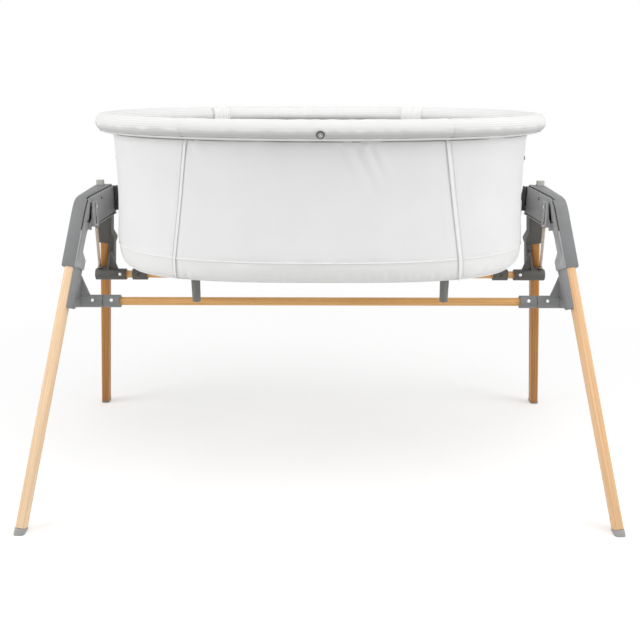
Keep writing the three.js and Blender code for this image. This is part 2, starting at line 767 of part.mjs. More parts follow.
function bracketGeometry(socketX, screw, braced) {
  const spineX = -legWidth / 2 - gap;
  const y = spineDepth / 2;
  const spineBack = spineX + legCorner / 2;
  const endHeight = railHeight + spineEnd;
  const spineBox = block(spineX - spineWidth, spineBack, -y, y, endHeight - legDepth, spineTop);
  const spine = cut(solid(spineBox.applyMatrix4(alongLeg)), belowSquare(endHeight, y, spineEndRound));
  const low = railHeight - socketRadius + saddleMargin;
  const high = railHeight + socketRadius - saddleMargin;
  const innerX = legX(high) + spineX - spineWidth;
  const elbowSide = points([
    [-railY, low],
    [-railY, high],
    [legY(high) - spineDepth / 3, high],
    [legY(endHeight) - spineDepth / 3, endHeight + saddleMargin],
  ]);
  const backY = legY(high) + legDepth / 2 + 2 * gap;
  const elbow = solid(prismX(elbowSide, innerX, legX(high)));
  const saddle = common(
    solid(prismX(elbowSide, innerX, socketOuterX)),
    solid(block(0, far, backY, 0, 0, far)),
  );
  const socket = discX(-railY, railHeight, socketRadius, socketX, socketOuterX);
  const ribs = gussets(spineX - spineWidth, legY(low) + legDepth / 2);
  let body = join(spine, elbow, saddle, solid(socket), ribs);
  if (braced) {
    const { boss, seat } = braceBoss();
    body = cut(join(body, boss), seat);
  }
  const bore = discX(-railY, railHeight, railRadius + gap, 0, socketX + railDepth);
  const section = roundRectangle(legWidth + 2 * gap, legDepth + 2 * gap, legCorner);
  const legRoom = prismZ(section, 0, legTop).applyMatrix4(alongLeg);
  return geometryOf(cut(body, solid(bore), solid(legRoom), screwSeat(screw)));
}

function mirroredPoint(point) {
  return new THREE.Vector3(point.x, -point.y, point.z);
}

function collarGeometry(outerEnd, screw) {
  const body = solid(discX(-railY, railHeight, socketRadius, outerEnd - collarLength, outerEnd));
  const bore = solid(discX(-railY, railHeight, railRadius + gap, 0, far));
  return geometryOf(cut(body, bore, screwSeat(screw)));
}

function railGeometry(y, socketX) {
  const end = socketX + railDepth - gap;
  return discX(y, railHeight, railRadius, -end, end, roundSteps);
}

function braceGeometry() {
  const along = braceHead.clone().sub(braceFoot).normalize();
  const ferruleEnd = braceFoot.clone().addScaledVector(along, braceFerruleLength);
  return geometryOf(join(
    solid(bar(braceFoot, braceHead, braceRadius, smallSteps)),
    solid(bar(braceFoot, ferruleEnd, braceFerruleRadius, smallSteps)),
  ));
}

// ---------------------------------------------------------------- buttons, springs and axles

function axleGeometry() {
  const innerEnd = hangerX + hangerThickness + slotGap;
  return discX(0, axleHeight, axleRadius, innerEnd, hubOuterX - armWall, roundSteps);
}

const flangeTop = crestHeight - armWall - crestFall * (buttonDepth / 2 + buttonFlange) - gap;
const flangeOuterX = legX(crestHeight) - hubOutset - armWall - gap;

function buttonGeometry() {
  const w = buttonWidth / 2;
  const d = buttonDepth / 2;
  const low = flangeTop - buttonFlangeHeight;
  const stem = prismZ(roundRectangle(buttonWidth, buttonDepth, buttonFlange), low, crestHeight + buttonRise);
  const flange = block(buttonX - w, flangeOuterX, -d - buttonFlange, d + buttonFlange, low, flangeTop);
  return geometryOf(join(solid(stem.translate(buttonX, 0, 0)), solid(flange)));
}

/** The wire of a button's spring, one turn after another. */
class SpringLine extends THREE.Curve {
  getPoint(t) {
    const angle = 2 * Math.PI * springTurns * t;
    const low = springSeat + springWire + gap;
    const high = flangeTop - buttonFlangeHeight - springWire - gap;
    return new THREE.Vector3(
      springX + springRadius * Math.cos(angle),
      springRadius * Math.sin(angle),
      low + (high - low) * t,
    );
  }
}

function springGeometry() {
  const ring = new THREE.Path().absarc(0, 0, springWire, 0, 2 * Math.PI).getPoints(3).slice(0, -1);
  const steps = Math.round(fineSteps * springTurns);
  const path = new SpringLine();
  return new THREE.ExtrudeGeometry(new THREE.Shape(ring), { steps, extrudePath: path, bevelEnabled: false });
}

// ---------------------------------------------------------------- hooks of the basket

function sleeveGeometry() {
  const x0 = hangerX + hangerThickness + slotGap;
  const body = solid(discX(0, axleHeight, sleeveRadius, x0, hubFaceX - gap));
  return geometryOf(cut(body, axleBore()));
}

function hangerGeometry() {
  const corners = [
    [-hangerWidth / 2, axleHeight - hangerDrop, hangerCorner],
    [hangerWidth / 2, axleHeight - hangerDrop, hangerCorner],
    [hangerWidth / 2, axleHeight + hangerRise, hangerCorner],
    [-hangerWidth / 2, axleHeight + hangerRise, hangerCorner],
  ];
  const plate = prismX(rounded(corners), hangerX - 2 * hangerThickness, hangerX + hangerThickness);
  return geometryOf(cut(solid(plate), solid(skinBody(gap))));
}

function hookGeometry() {
  const inner = hangerX + hangerThickness + gap;
  const outer = hubFaceX - 2 * slotGap;
  const side = prismY(points([
    [inner, axleHeight],
    [outer, axleHeight],
    [outer, axleHeight + hookRise],
    [outer - hookToeThickness, axleHeight + hookRise],
    [inner, axleHeight + 2 * sleeveRadius],
  ]), -hookWidth / 2, hookWidth / 2);
  return geometryOf(cut(solid(side), solid(discX(0, axleHeight, sleeveRadius + gap, 0, far))));
}

// ---------------------------------------------------------------- basket

/** The point of an oval at an angle: |x/a|^n + |y/b|^n = 1, moved out along its normal. */
function ovalPoint(level, angle) {
  const { a, b, n, out = 0 } = level;
  const c = Math.cos(angle);
  const s = Math.sin(angle);
  const x = a * Math.sign(c) * Math.abs(c) ** (2 / n);
  const y = b * Math.sign(s) * Math.abs(s) ** (2 / n);
  const normal = new THREE.Vector2(
    (Math.sign(x) * Math.abs(x / a) ** (n - 1)) / a,
    (Math.sign(y) * Math.abs(y / b) ** (n - 1)) / b,
  ).normalize();
  return new THREE.Vector2(x, y).addScaledVector(normal, out);
}

/** A body turned around the basket's oval. A level with no size is a point on the axis. */
function ovalBody(levels, closed) {
  const profile = levels.map((level) => new THREE.Vector2(level.a ? 1 : 0, level.z));
  if (closed) profile.push(profile[0].clone());
  const geometry = new THREE.LatheGeometry(profile, ringSteps);
  const position = geometry.attributes.position;
  const rows = profile.length;
  for (let i = 0; i < position.count; i += 1) {
    const level = levels[(i % rows) % levels.length];
    const step = Math.floor(i / rows) % ringSteps;
    const spot = level.a ? ovalPoint(level, (2 * Math.PI * (step + 0.5)) / ringSteps) : new THREE.Vector2();
    position.setXYZ(i, spot.x, spot.y, level.z);
  }
  return outward(geometry);
}

/** The same closed body with its faces pointing out. */
function outward(geometry) {
  const bare = geometry.clone();
  bare.deleteAttribute('normal');
  bare.deleteAttribute('uv');
  const merged = mergeVertices(bare, 1e-4);
  const p = merged.attributes.position;
  const index = merged.index.array;
  const kept = [];
  let volume = 0;
  const corner = (i) => new THREE.Vector3().fromBufferAttribute(p, i);
  for (let i = 0; i < index.length; i += 3) {
    const [u, v, w] = [index[i], index[i + 1], index[i + 2]];
    if (u === v || v === w || w === u) continue;
    kept.push(u, v, w);
    volume += corner(u).dot(corner(v).cross(corner(w)));
  }
  if (volume < 0) {
    for (let i = 0; i < kept.length; i += 3) [kept[i], kept[i + 1]] = [kept[i + 1], kept[i]];
  }
  merged.setIndex(kept);
  return merged;
}

/** Section levels of an arc around the rim's middle line, from one angle to another in degrees. */
function rimArc(radius, from, to, steps) {
  return Array.from({ length: steps + 1 }, (unused, i) => {
    const angle = THREE.MathUtils.degToRad(from + ((to - from) * i) / steps);
    return {
      a: rimLength,
      b: rimWidth,
      n: rimSquare,
      out: radius * Math.cos(angle),
      z: rimHeight + radius * Math.sin(angle),
    };
  });
}

/** A ring with a slit along its underside, between two radii of its section. */
function slitRing(outerRadius, innerRadius, outerSteps, innerSteps) {
  const underside = -90;
  const slit = (radius) => THREE.MathUtils.radToDeg(Math.asin(rimSlit / 2 / radius));
  const from = (radius) => underside + slit(radius);
  const to = (radius) => underside + 360 - slit(radius);
  const outer = rimArc(outerRadius, from(outerRadius), to(outerRadius), outerSteps);
  const inner = rimArc(innerRadius, to(innerRadius), from(innerRadius), innerSteps);
  return ovalBody([...outer, ...inner], true);
}

function rimTubeGeometry() {
  return slitRing(rimTubeRadius, rimTubeRadius - rimTubeWall, fineSteps, fineSteps / 2);
}

function rimPaddingGeometry() {
  return slitRing(rimRadius, rimTubeRadius + gap, smallSteps, fineSteps);
}

const wallHeight = (share) => THREE.MathUtils.lerp(bandHeight, clothTop, share);

/** The basket's outer skin from the top down, as [inset from the full size, height, exponent]. */
const skin = [
  [0, clothTop, 2.15],
  [waistInset / 2, wallHeight(upperShare), 2.25],
  [waistInset, wallHeight(waistShare), 2.35],
  [0, bandHeight, 2.5],
  [basketRound * 0.08, basketBottom + basketRound, edgeSquare],
  [basketRound * 0.4, basketBottom + basketRound * 0.35, 2.8],
  [basketRound, basketBottom, 3],
];

function skinLevel([inward, z, n], out, rise) {
  return { a: basketLength - inward, b: basketWidth - inward, n, out, z: z + rise };
}

/** Where the cloth meets the rim's padding, below and inside it. */
function skinTop(out) {
  const reach = (rimRadius + gap) * Math.SQRT1_2;
  return { a: rimLength, b: rimWidth, n: rimSquare, out: out - reach, z: rimHeight - reach };
}

const axisPoint = (z) => ({ a: 0, z });
const floorTop = basketBottom + clothThickness;

/** The basket's outer skin as a full body, moved outwards by a distance. */
function skinBody(out) {
  const levels = [skinTop(out), ...skin.map((level) => skinLevel(level, out, 0))];
  return ovalBody([axisPoint(levels[0].z), ...levels, axisPoint(basketBottom)], false);
}

function clothGeometry() {
  const outer = [skinTop(0), ...skin.map((level) => skinLevel(level, 0, 0))];
  const lowLevels = 3;
  const rise = (i) => (i < skin.length - lowLevels ? 0 : clothThickness);
  const lining = skin.map((level, i) => skinLevel(level, -clothThickness, rise(i)));
  const inner = [skinTop(-clothThickness), ...lining].reverse();
  return ovalBody([...outer, axisPoint(basketBottom), axisPoint(floorTop), ...inner], true);
}

/** A flat oval layer inside the basket. */
function layerGeometry(inward, low, high, edge) {
  const size = (extra) => ({ a: basketLength - inward, b: basketWidth - inward, n: edgeSquare, out: -extra });
  const levels = [
    axisPoint(low),
    { ...size(edge), z: low },
    { ...size(0), z: low + edge },
    { ...size(0), z: high - edge },
    { ...size(edge), z: high },
    axisPoint(high),
  ];
  return ovalBody(edge ? levels : [levels[0], levels[1], levels[4], levels[5]], false);
}

const boardLow = floorTop + gap;
const boardInset = basketRound + boardMargin;
const boardTop = boardLow + boardThickness;
const mattressLow = boardTop + gap;
const mattressTop = mattressLow + mattressThickness;

function baseTubeGeometry() {
  const inward = baseTubeShare * basketRound;
  const levels = Array.from({ length: fineSteps }, (unused, i) => {
    const angle = (2 * Math.PI * i) / fineSteps;
    return {
      a: basketLength - inward,
      b: basketWidth - inward,
      n: edgeSquare,
      out: baseTubeRadius * Math.cos(angle),
      z: basketBottom + inward + baseTubeRadius * (1 + Math.sin(angle)),
    };
  });
  return ovalBody(levels, true);
}

function footPegGeometry() {
  const top = basketBottom - gap;
  const peg = new THREE.CylinderGeometry(footPegTop, footPegEnd, footPegLength, roundSteps);
  const x = basketLength - footPegInsetX;
  const y = footPegInsetY - basketWidth;
  return peg.rotateX(Math.PI / 2).translate(x, y, top - footPegLength / 2);
}

function snapGeometry() {
  const middle = new THREE.Vector3(0, -rimWidth, rimHeight);
  const angle = THREE.MathUtils.degToRad(snapAngle);
  const way = new THREE.Vector3(0, -Math.cos(angle), -Math.sin(angle));
  const back = middle.clone().addScaledVector(way, rimRadius + gap);
  return bar(back, back.clone().addScaledVector(way, snapThickness), snapRadius, roundSteps);
}

// ---------------------------------------------------------------- assembly

/** A geometry mirrored by signs in X and Y, with its faces kept pointing outwards. */
function mirrored(geometry, signX, signY) {
  const copy = geometry.clone();
  copy.deleteAttribute('normal');
  copy.deleteAttribute('uv');
  const flat = mergeVertices(copy, 1e-4).applyMatrix4(new THREE.Matrix4().makeScale(signX, signY, 1));
  if (signX * signY > 0) return flat;
  const index = flat.index.array;
  for (let i = 0; i < index.length; i += 3) [index[i], index[i + 1]] = [index[i + 1], index[i]];
  return flat;
}

const model = new THREE.Group();
const materials = Object.fromEntries(
  Object.entries(finishes).map(([name, values]) => [name, () => new THREE.MeshStandardMaterial(values)]),
);

function add(name, geometry, finish) {
  geometry.computeVertexNormals();
  const mesh = new THREE.Mesh(geometry, materials[finish]());
  mesh.name = name;
  model.add(mesh);
}

const sides = { left: -1, right: 1 };
const ends = { front: 1, rear: -1 };

const perCorner = [
  ['leg', legGeometry(), { front: 'ash', rear: 'ashShaded' }],
  ['foot_cap', footCapGeometry(), { front: 'greyPlastic', rear: 'greyPlastic' }],
];
const perEnd = {
  front: [
    ['front_outer_cover', frontOuterCoverGeometry(), 'greyPlastic'],
    ['front_inner_cover', frontInnerCoverGeometry(), 'greyPlastic'],
    ['front_rail_bracket', bracketGeometry(frontSocketX, frontBracketScrew, false), 'greyPlastic'],
    ['front_rail_collar', collarGeometry(frontCollarX, frontCollarScrew), 'greyPlastic'],
    ['front_bracket_screw', screwGeometry(frontBracketScrew), 'steel'],
    ['front_collar_screw', screwGeometry(frontCollarScrew), 'steel'],
  ],
  rear: [
    ['rear_rail_bracket', bracketGeometry(rearSocketX, rearBracketScrew, true), 'greyPlastic'],
    ['rear_rail_collar', collarGeometry(rearCollarX, rearCollarScrew), 'greyPlastic'],
    ['rear_bracket_screw', screwGeometry(rearBracketScrew), 'steel'],
  ],
};

for (const [side, signX] of Object.entries(sides)) {
  for (const [end, signY] of Object.entries(ends)) {
    for (const [name, geometry, finish] of perCorner) {
      add(`${end}_${name}_${side}`, mirrored(geometry, signX, signY), finish[end]);
    }
    for (const [name, geometry, finish] of perEnd[end]) {
      add(`${name}_${side}`, mirrored(geometry, signX, signY), finish);
    }
    add(`basket_foot_${end}_${side}`, mirrored(footPegGeometry(), signX, signY), 'greyPlastic');
  }
  add(`rear_outer_cover_${side}`, mirrored(rearOuterCoverGeometry(), signX, 1), 'greyPlastic');
  add(`rear_inner_cover_${side}`, mirrored(rearInnerCoverGeometry(), signX, 1), 'greyPlastic');
  add(`brace_rod_${side}`, mirrored(braceGeometry(), signX, 1), 'steel');
  add(`hub_axle_${side}`, mirrored(axleGeometry(), signX, 1), 'steel');
  add(`fold_button_${side}`, mirrored(buttonGeometry(), signX, 1), 'lightPlastic');
  add(`fold_button_spring_${side}`, mirrored(springGeometry(), signX, 1), 'steel');
  add(`sway_sleeve_${side}`, mirrored(sleeveGeometry(), signX, 1), 'darkPlastic');
  add(`hanger_plate_${side}`, mirrored(hangerGeometry(), signX, 1), 'lightPlastic');
  add(`basket_hook_${side}`, mirrored(hookGeometry(), signX, 1), 'darkPlastic');
}

add('front_rail', railGeometry(-railY, frontSocketX), 'ashRail');
add('rear_rail', railGeometry(railY, rearSocketX), 'ashRail');
add('rim_tube', rimTubeGeometry(), 'steel');
add('rim_padding', rimPaddingGeometry(), 'mesh');
add('basket_cloth', clothGeometry(), 'cloth');
add('base_tube', baseTubeGeometry(), 'steel');
add('base_board', layerGeometry(boardInset, boardLow, boardTop, 0), 'board');
add('mattress', layerGeometry(boardInset, mattressLow, mattressTop, mattressEdge), 'cloth');
add('rim_snap', snapGeometry(), 'steel');

export default model;
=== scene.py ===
"""Bassinet on a folding stand: an oval cloth basket that hangs between two grey hubs on wooden legs.

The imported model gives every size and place. This script dresses its hard pieces, sews the basket
from its own sheets, pads the rim and the mattress, and sets up a plain studio.
"""

from __future__ import annotations

import logging
import math
from contextlib import contextmanager
from dataclasses import dataclass, field, replace
from enum import Enum
from functools import cache
from typing import Callable, Iterator, NamedTuple

import bpy
import numpy as np
from mathutils import Matrix, Quaternion, Vector
from mathutils.bvhtree import BVHTree


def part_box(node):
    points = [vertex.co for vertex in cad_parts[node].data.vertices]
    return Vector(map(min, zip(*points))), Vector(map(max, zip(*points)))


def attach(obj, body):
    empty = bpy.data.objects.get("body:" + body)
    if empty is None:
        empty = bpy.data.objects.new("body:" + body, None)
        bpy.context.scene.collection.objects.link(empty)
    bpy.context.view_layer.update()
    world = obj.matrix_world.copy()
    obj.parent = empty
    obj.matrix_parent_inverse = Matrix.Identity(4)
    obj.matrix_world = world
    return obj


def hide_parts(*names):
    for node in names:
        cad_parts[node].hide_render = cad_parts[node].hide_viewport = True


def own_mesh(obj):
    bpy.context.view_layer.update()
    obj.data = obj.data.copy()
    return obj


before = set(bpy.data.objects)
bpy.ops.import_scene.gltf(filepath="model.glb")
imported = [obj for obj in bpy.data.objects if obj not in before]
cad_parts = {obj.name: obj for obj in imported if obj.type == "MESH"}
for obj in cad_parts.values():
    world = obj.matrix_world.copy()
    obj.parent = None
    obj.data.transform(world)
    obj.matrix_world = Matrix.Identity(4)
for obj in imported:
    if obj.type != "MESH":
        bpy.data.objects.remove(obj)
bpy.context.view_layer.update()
LOG = logging.getLogger("bassinet")

Array = np.ndarray
Colour = tuple[float, float, float]
Pair = tuple[float, float]
Place = tuple[float, float, float]
Piece = bpy.types.Object
Socket = bpy.types.NodeSocket
MM = 0.001
TURN = 2 * math.pi
UP = np.array([0, 0, 1.0])
WHITE = (1.0, 1.0, 1.0)


def srgb(*seen: int) -> Colour:
    """A colour given as it is seen, in the linear values that the shaders take.

    Args:
        seen: Red, green and blue from 0 to 255.

    Returns:
        The three linear values.
    """
    parts = np.array(seen) / 255
    return tuple(np.where(parts <= 0.04045, parts / 12.92, ((parts + 0.055) / 1.055) ** 2.4).tolist())


def scaled(colour: Colour, factor: float, lift: float = 0) -> Colour:
    """A colour made darker or paler.

    Args:
        colour: The colour.
        factor: What its values are multiplied by.
        lift: What is added to them.

    Returns:
        The new colour, at most 1.
    """
    return tuple(min(1.0, value * factor + lift) for value in colour)


# ---------------------------------------------------------------- finishes


class Shader:
    """A material's or a world's node tree, built one node at a time."""

    def __init__(self, owner: bpy.types.Material | bpy.types.World) -> None:
        """Start an empty tree.

        Args:
            owner: The material or world.
        """
        owner.use_nodes = True
        self.owner = owner
        self.tree = owner.node_tree
        self.tree.nodes.clear()

    def node(self, kind: str, inputs: dict | None = None, **settings: object) -> bpy.types.Node:
        """Add a node.

        Args:
            kind: The node's type name without its ShaderNode prefix.
            inputs: Values or output sockets for its inputs, by name or number.
            settings: Values for the node's own properties.

        Returns:
            The new node.
        """
        made = self.tree.nodes.new("ShaderNode" + kind)
        for key, value in settings.items():
            setattr(made, key, value)
        for key, value in (inputs or {}).items():
            socket = made.inputs[key]
            if isinstance(value, Socket):
                self.tree.links.new(value, socket)
            else:
                socket.default_value = (*value, 1) if socket.type == "RGBA" else value
        return made

    def math(self, operation: str, *values: object) -> Socket:
        """The result of an operation on numbers or sockets."""
        return self.node("Math", dict(enumerate(values)), operation=operation).outputs[0]

    def mix(self, share: object, first: object, second: object) -> Socket:
        """A colour between two, with a share from 0 to 1 of the second."""
        return self.node("Mix", {0: share, 6: first, 7: second}, data_type="RGBA").outputs[2]

    def noise(self, place: Socket, scale: float, detail: float = 2, rough: float = 0.5) -> Socket:
        """A noise pattern.

        Args:
            place: The coordinates' socket.
            scale: How many features there are to a metre.
            detail: How many finer layers are added.
            rough: How strong the finer layers are.

        Returns:
            The pattern's socket, about 0 to 1.
        """
        inputs = {"Vector": place, "Scale": scale, "Detail": detail, "Roughness": rough}
        return self.node("TexNoise", inputs).outputs["Fac"]

    def between(self, value: Socket, low: float, high: float, start: float = 0, end: float = 1) -> Socket:
        """A value moved from one range to another, and kept within it.

        Args:
            value: The value's socket.
            low: Where the value's range starts.
            high: Where it ends.
            start: What its start becomes.
            end: What its end becomes.

        Returns:
            The moved value's socket.
        """
        inputs = {"Value": value, "From Min": low, "From Max": high, "To Min": start, "To Max": end}
        return self.node("MapRange", inputs).outputs[0]

    def shelter(self, reach: float, **settings: object) -> Socket:
        """How open a place is, from 0 to 1, to what lies within a reach in metres."""
        return self.node("AmbientOcclusion", {"Distance": reach}, samples=8, **settings).outputs["AO"]

    @property
    def here(self) -> Socket:
        """The object coordinates."""
        return self.node("TexCoord").outputs["Object"]

    @property
    def seen(self) -> Socket:
        """A share that is 1 for rays from the camera, reflections and clear things.

        Returns:
            Its socket.
        """
        path = self.node("LightPath").outputs
        glossy = self.math("MAXIMUM", path["Is Camera Ray"], path["Is Glossy Ray"])
        return self.math("MAXIMUM", glossy, path["Is Transmission Ray"])

    def show(self, surface: Socket) -> None:
        """Link a surface to the tree's output."""
        kind = "OutputWorld" if isinstance(self.owner, bpy.types.World) else "OutputMaterial"
        self.node(kind, {"Surface": surface})

    def finish(
        self, colour: Socket, rough: Socket, height: Socket, strength: float, relief: float, **more: float
    ) -> bpy.types.Material:
        """End the tree with one Principled surface, raised by a pattern.

        Args:
            colour: Its colour.
            rough: Its roughness.
            height: The pattern that raises it.
            strength: The bump's strength.
            relief: The pattern's height in metres.
            more: Values of other sockets, with underscores for the blanks in their names.

        Returns:
            The material.
        """
        bump = self.node("Bump", {"Height": height, "Strength": strength, "Distance": relief})
        inputs = {name.replace("_", " "): value for name, value in more.items()}
        inputs |= {"Base Color": colour, "Roughness": rough, "Normal": bump.outputs[0]}
        self.show(self.node("BsdfPrincipled", inputs).outputs[0])
        return self.owner


@dataclass(frozen=True)
class Finish:
    """A named finish, which builds its own material."""

    name: str

    def start(self) -> Shader:
        """An empty shader under the finish's name."""
        return Shader(bpy.data.materials.new(self.name))

    def build(self) -> bpy.types.Material:
        """Make the material."""
        raise NotImplementedError


@cache
def material(finish: Finish) -> bpy.types.Material:
    """The one material of a finish, built when it is first used."""
    return finish.build()


@dataclass(frozen=True)
class Wood(Finish):
    """Lacquered ash with long grain along the turned Z axis."""

    pale: Colour
    dark: Colour
    turn: Place = (0, 0, 0)
    seed: float = 0

    def build(self) -> bpy.types.Material:
        """Make the material: saw-shaped rings, broad tones, streaks and pores.

        Returns:
            The material.
        """
        shader = self.start()
        shift = (self.seed, 2 * self.seed, 3 * self.seed)
        turned = {"Vector": shader.here, "Rotation": self.turn, "Location": shift}
        along = shader.node("Mapping", turned).outputs[0]

        def stretched(across: float, length: float) -> Socket:
            """The coordinates, drawn closer across the grain than along it."""
            return shader.node("Mapping", {"Vector": along, "Scale": (across, across, length)}).outputs[0]

        broad = shader.noise(stretched(95, 3.2), 1, 3, 0.55)
        streaks = shader.noise(stretched(420, 5), 1, 3, 0.6)
        pores = shader.noise(stretched(1500, 26), 1, 2, 0.5)
        wave = {"Vector": stretched(58, 1.5), "Scale": 1, "Distortion": 7, "Detail": 3, "Detail Scale": 0.9}
        rings = shader.node("TexWave", wave, wave_profile="SAW").outputs["Fac"]
        share = shader.math("MULTIPLY", shader.between(rings, 0.25, 1.0), 0.34)
        for part in (
            shader.between(broad, 0.35, 0.75, 0, 0.30),
            shader.between(streaks, 0.45, 0.8, 0, 0.42),
            shader.between(pores, 0.6, 0.78, 0, 0.45),
        ):
            share = shader.math("ADD", share, part)
        colour = shader.mix(shader.between(share, 0, 1), self.pale, self.dark)
        rough = shader.between(streaks, 0.3, 0.8, 0.42, 0.58)
        height = shader.math("ADD", shader.math("MULTIPLY", pores, 0.6), streaks)
        return shader.finish(colour, rough, height, 0.25, 0.12 * MM, Coat_Weight=0.12, Coat_Roughness=0.35)


@dataclass(frozen=True)
class Plastic(Finish):
    """Moulded plastic with a fine sand-like texture."""

    colour: Colour
    roughness: float = 0.5
    grain: float = 0.10
    mottle: float = 0.06
    # Painted shade: recesses within this reach are painted down to depth times the colour.
    painted_shade_reach: float = 5.0 * MM
    depth: float = 0.04

    def build(self) -> bpy.types.Material:
        """Make the material: its mottled colour, painted shade in its crevices and recesses, and paler rubbed
        edges.

        Returns:
            The material.
        """
        shader = self.start()
        place = shader.here
        sand = shader.noise(place, 2600, 2, 0.6)
        cloud = shader.noise(place, 38, 3, 0.55)
        scuff = shader.noise(place, 210, 4, 0.65)
        clouds, specks = shader.between(cloud, 0.35, 0.7, 0, 0.6), shader.between(sand, 0.55, 0.8, 0, 0.5)
        mottled = scaled(self.colour, 1 - 2.2 * self.mottle)
        ground = shader.mix(shader.math("ADD", clouds, specks), self.colour, mottled)
        edge = shader.shelter(1.6 * MM, inside=True, only_local=True)
        rubbed = shader.math("MULTIPLY", shader.between(edge, 0.75, 0.35, 0, 0.5), scuff)
        ground = shader.mix(rubbed, ground, scaled(self.colour, 1.35, 0.03))
        # Painted shade: crevices and recesses, found by ambient occlusion, are painted nearly black.
        painted_crevice_shade = shader.between(shader.shelter(self.painted_shade_reach), 0.66, 0.28)
        colour = shader.mix(painted_crevice_shade, ground, scaled(self.colour, self.depth))
        rough = shader.between(scuff, 0.3, 0.75, self.roughness - 0.07, self.roughness + 0.1)
        return shader.finish(colour, rough, sand, self.grain, 0.12 * MM)


@dataclass(frozen=True)
class Metal(Finish):
    """Plated steel wire, screws and tube."""

    colour: Colour
    roughness: float = 0.3
    tarnish: float = 0.18

    def build(self) -> bpy.types.Material:
        """Make the material: duller spots and fine drawn lines.

        Returns:
            The material.
        """
        shader = self.start()
        place = shader.here
        drawn = shader.noise(place, 900, 3, 0.6)
        spots = shader.noise(place, 120, 4, 0.6)
        dull = scaled(self.colour, 1 - self.tarnish)
        colour = shader.mix(shader.between(spots, 0.4, 0.7), self.colour, dull)
        rough = shader.between(drawn, 0.3, 0.7, self.roughness - 0.06, self.roughness + 0.12)
        return shader.finish(colour, rough, drawn, 0.06, 0.05 * MM, Metallic=1.0)


class Weave(Enum):
    """How a cloth is made."""

    AIR_MESH = "knitted mesh with small round holes"
    PLAIN = "close plain weave"
    TAPE = "ribbed binding tape"


@dataclass(frozen=True)
class Cloth(Finish):
    """White cloth on the piece's own UV map, which is in metres."""

    colour: Colour
    weave: Weave
    pitch: float = 1.6 * MM
    shade: float = 0.10
    relief: float = 0.35
    sheen: float = 0.15
    # How much darker the painted shade makes faces that turn downwards.
    underside_shade: float = 0.0

    def threads(self, shader: Shader) -> tuple[Socket, Socket]:
        """The weave's pattern.

        Args:
            shader: The material that is being built.

        Returns:
            The height's socket, and the socket of what is darker.
        """
        split = shader.node("SeparateXYZ", {0: shader.node("UVMap", uv_map="flat").outputs[0]})
        across, along = split.outputs[0], split.outputs[1]

        def wave(value: Socket, threads: float = 1) -> Socket:
            """A sine with a number of waves to the weave's pitch."""
            return shader.math("SINE", shader.math("MULTIPLY", value, threads * TURN / self.pitch))

        if self.weave is Weave.TAPE:
            rib = wave(along)
            return rib, shader.between(rib, 0.2, -0.9)
        if self.weave is Weave.PLAIN:
            product = shader.math("MULTIPLY", wave(across), wave(along))
            return product, shader.between(product, 0.1, -0.8)
        rising, falling = (wave(shader.math(way, across, along), 0.5) for way in ("ADD", "SUBTRACT"))
        holes = shader.between(shader.math("MULTIPLY", rising, falling), 0.25, 0.85)
        return shader.math("SUBTRACT", 1.0, holes), holes

    def build(self) -> bpy.types.Material:
        """Make the material: its weave, soft clouds of tone, and painted shade on its downward-facing side if
        it has one.

        Returns:
            The material.
        """
        shader = self.start()
        place = shader.here
        height, gaps = self.threads(shader)
        soft = shader.noise(place, 22, 3, 0.5)
        fuzz = shader.noise(place, 1400, 2, 0.6)
        darker = scaled(self.colour, 1 - self.shade)
        ground = shader.mix(shader.between(soft, 0.35, 0.7), self.colour, scaled(self.colour, 0.98))
        woven = shader.mix(gaps, ground, darker)
        # Painted shade: faces that turn downwards are painted darker, as the underside lies out of the light.
        if self.underside_shade:
            rise = shader.node("SeparateXYZ", {0: shader.node("TexCoord").outputs["Normal"]}).outputs[2]
            under = shader.between(rise, 0.05, -0.55, 0, 0.9)
            woven = shader.mix(under, woven, scaled(darker, 1 - self.underside_shade))
        rough = shader.between(fuzz, 0.3, 0.7, 0.86, 0.96)
        height = shader.math("ADD", height, shader.math("MULTIPLY", fuzz, 0.5))
        sheen = {"Sheen_Weight": self.sheen, "Sheen_Roughness": 0.5}
        return shader.finish(woven, rough, height, self.relief, 0.18 * MM, **sheen)


# ---------------------------------------------------------------- meshes


def clear_selection() -> None:
    """Leave edit mode and deselect every object."""
    if bpy.context.object and bpy.context.object.mode != "OBJECT":
        bpy.ops.object.mode_set(mode="OBJECT")
    bpy.ops.object.select_all(action="DESELECT")


def make_active(piece: Piece) -> None:
    """Select one object alone and make it the active one.

    Args:
        piece: The object.
    """
    clear_selection()
    piece.select_set(True)
    bpy.context.view_layer.objects.active = piece


@contextmanager
def editing(piece: Piece) -> Iterator[None]:
    """Edit mode on one piece, and object mode again after it.

    Args:
        piece: The piece.

    Yields:
        Nothing.
    """
    make_active(piece)
    bpy.ops.object.mode_set(mode="EDIT")
    yield
    bpy.ops.object.mode_set(mode="OBJECT")


def apply_modifier(piece: Piece, kind: str, **settings: object) -> None:
    """Add a modifier to a piece and apply it.

    Args:
        piece: The piece.
        kind: The modifier's type.
        settings: The modifier's properties.
    """
    make_active(piece)
    modifier = piece.modifiers.new(kind.title(), kind)
    for key, value in settings.items():
        setattr(modifier, key, value)
    bpy.ops.object.modifier_apply(modifier=modifier.name)


def soften(piece: Piece, width: float, segments: int = 2, angle: float = 35) -> None:
    """Round a piece's edges.

    Args:
        piece: The piece.
        width: The rounding's width in metres.
        segments: How many faces it has.
        angle: Edges sharper than this many degrees are rounded.
    """
    limit = math.radians(angle)
    apply_modifier(piece, "BEVEL", width=width, segments=segments, limit_method="ANGLE", angle_limit=limit)


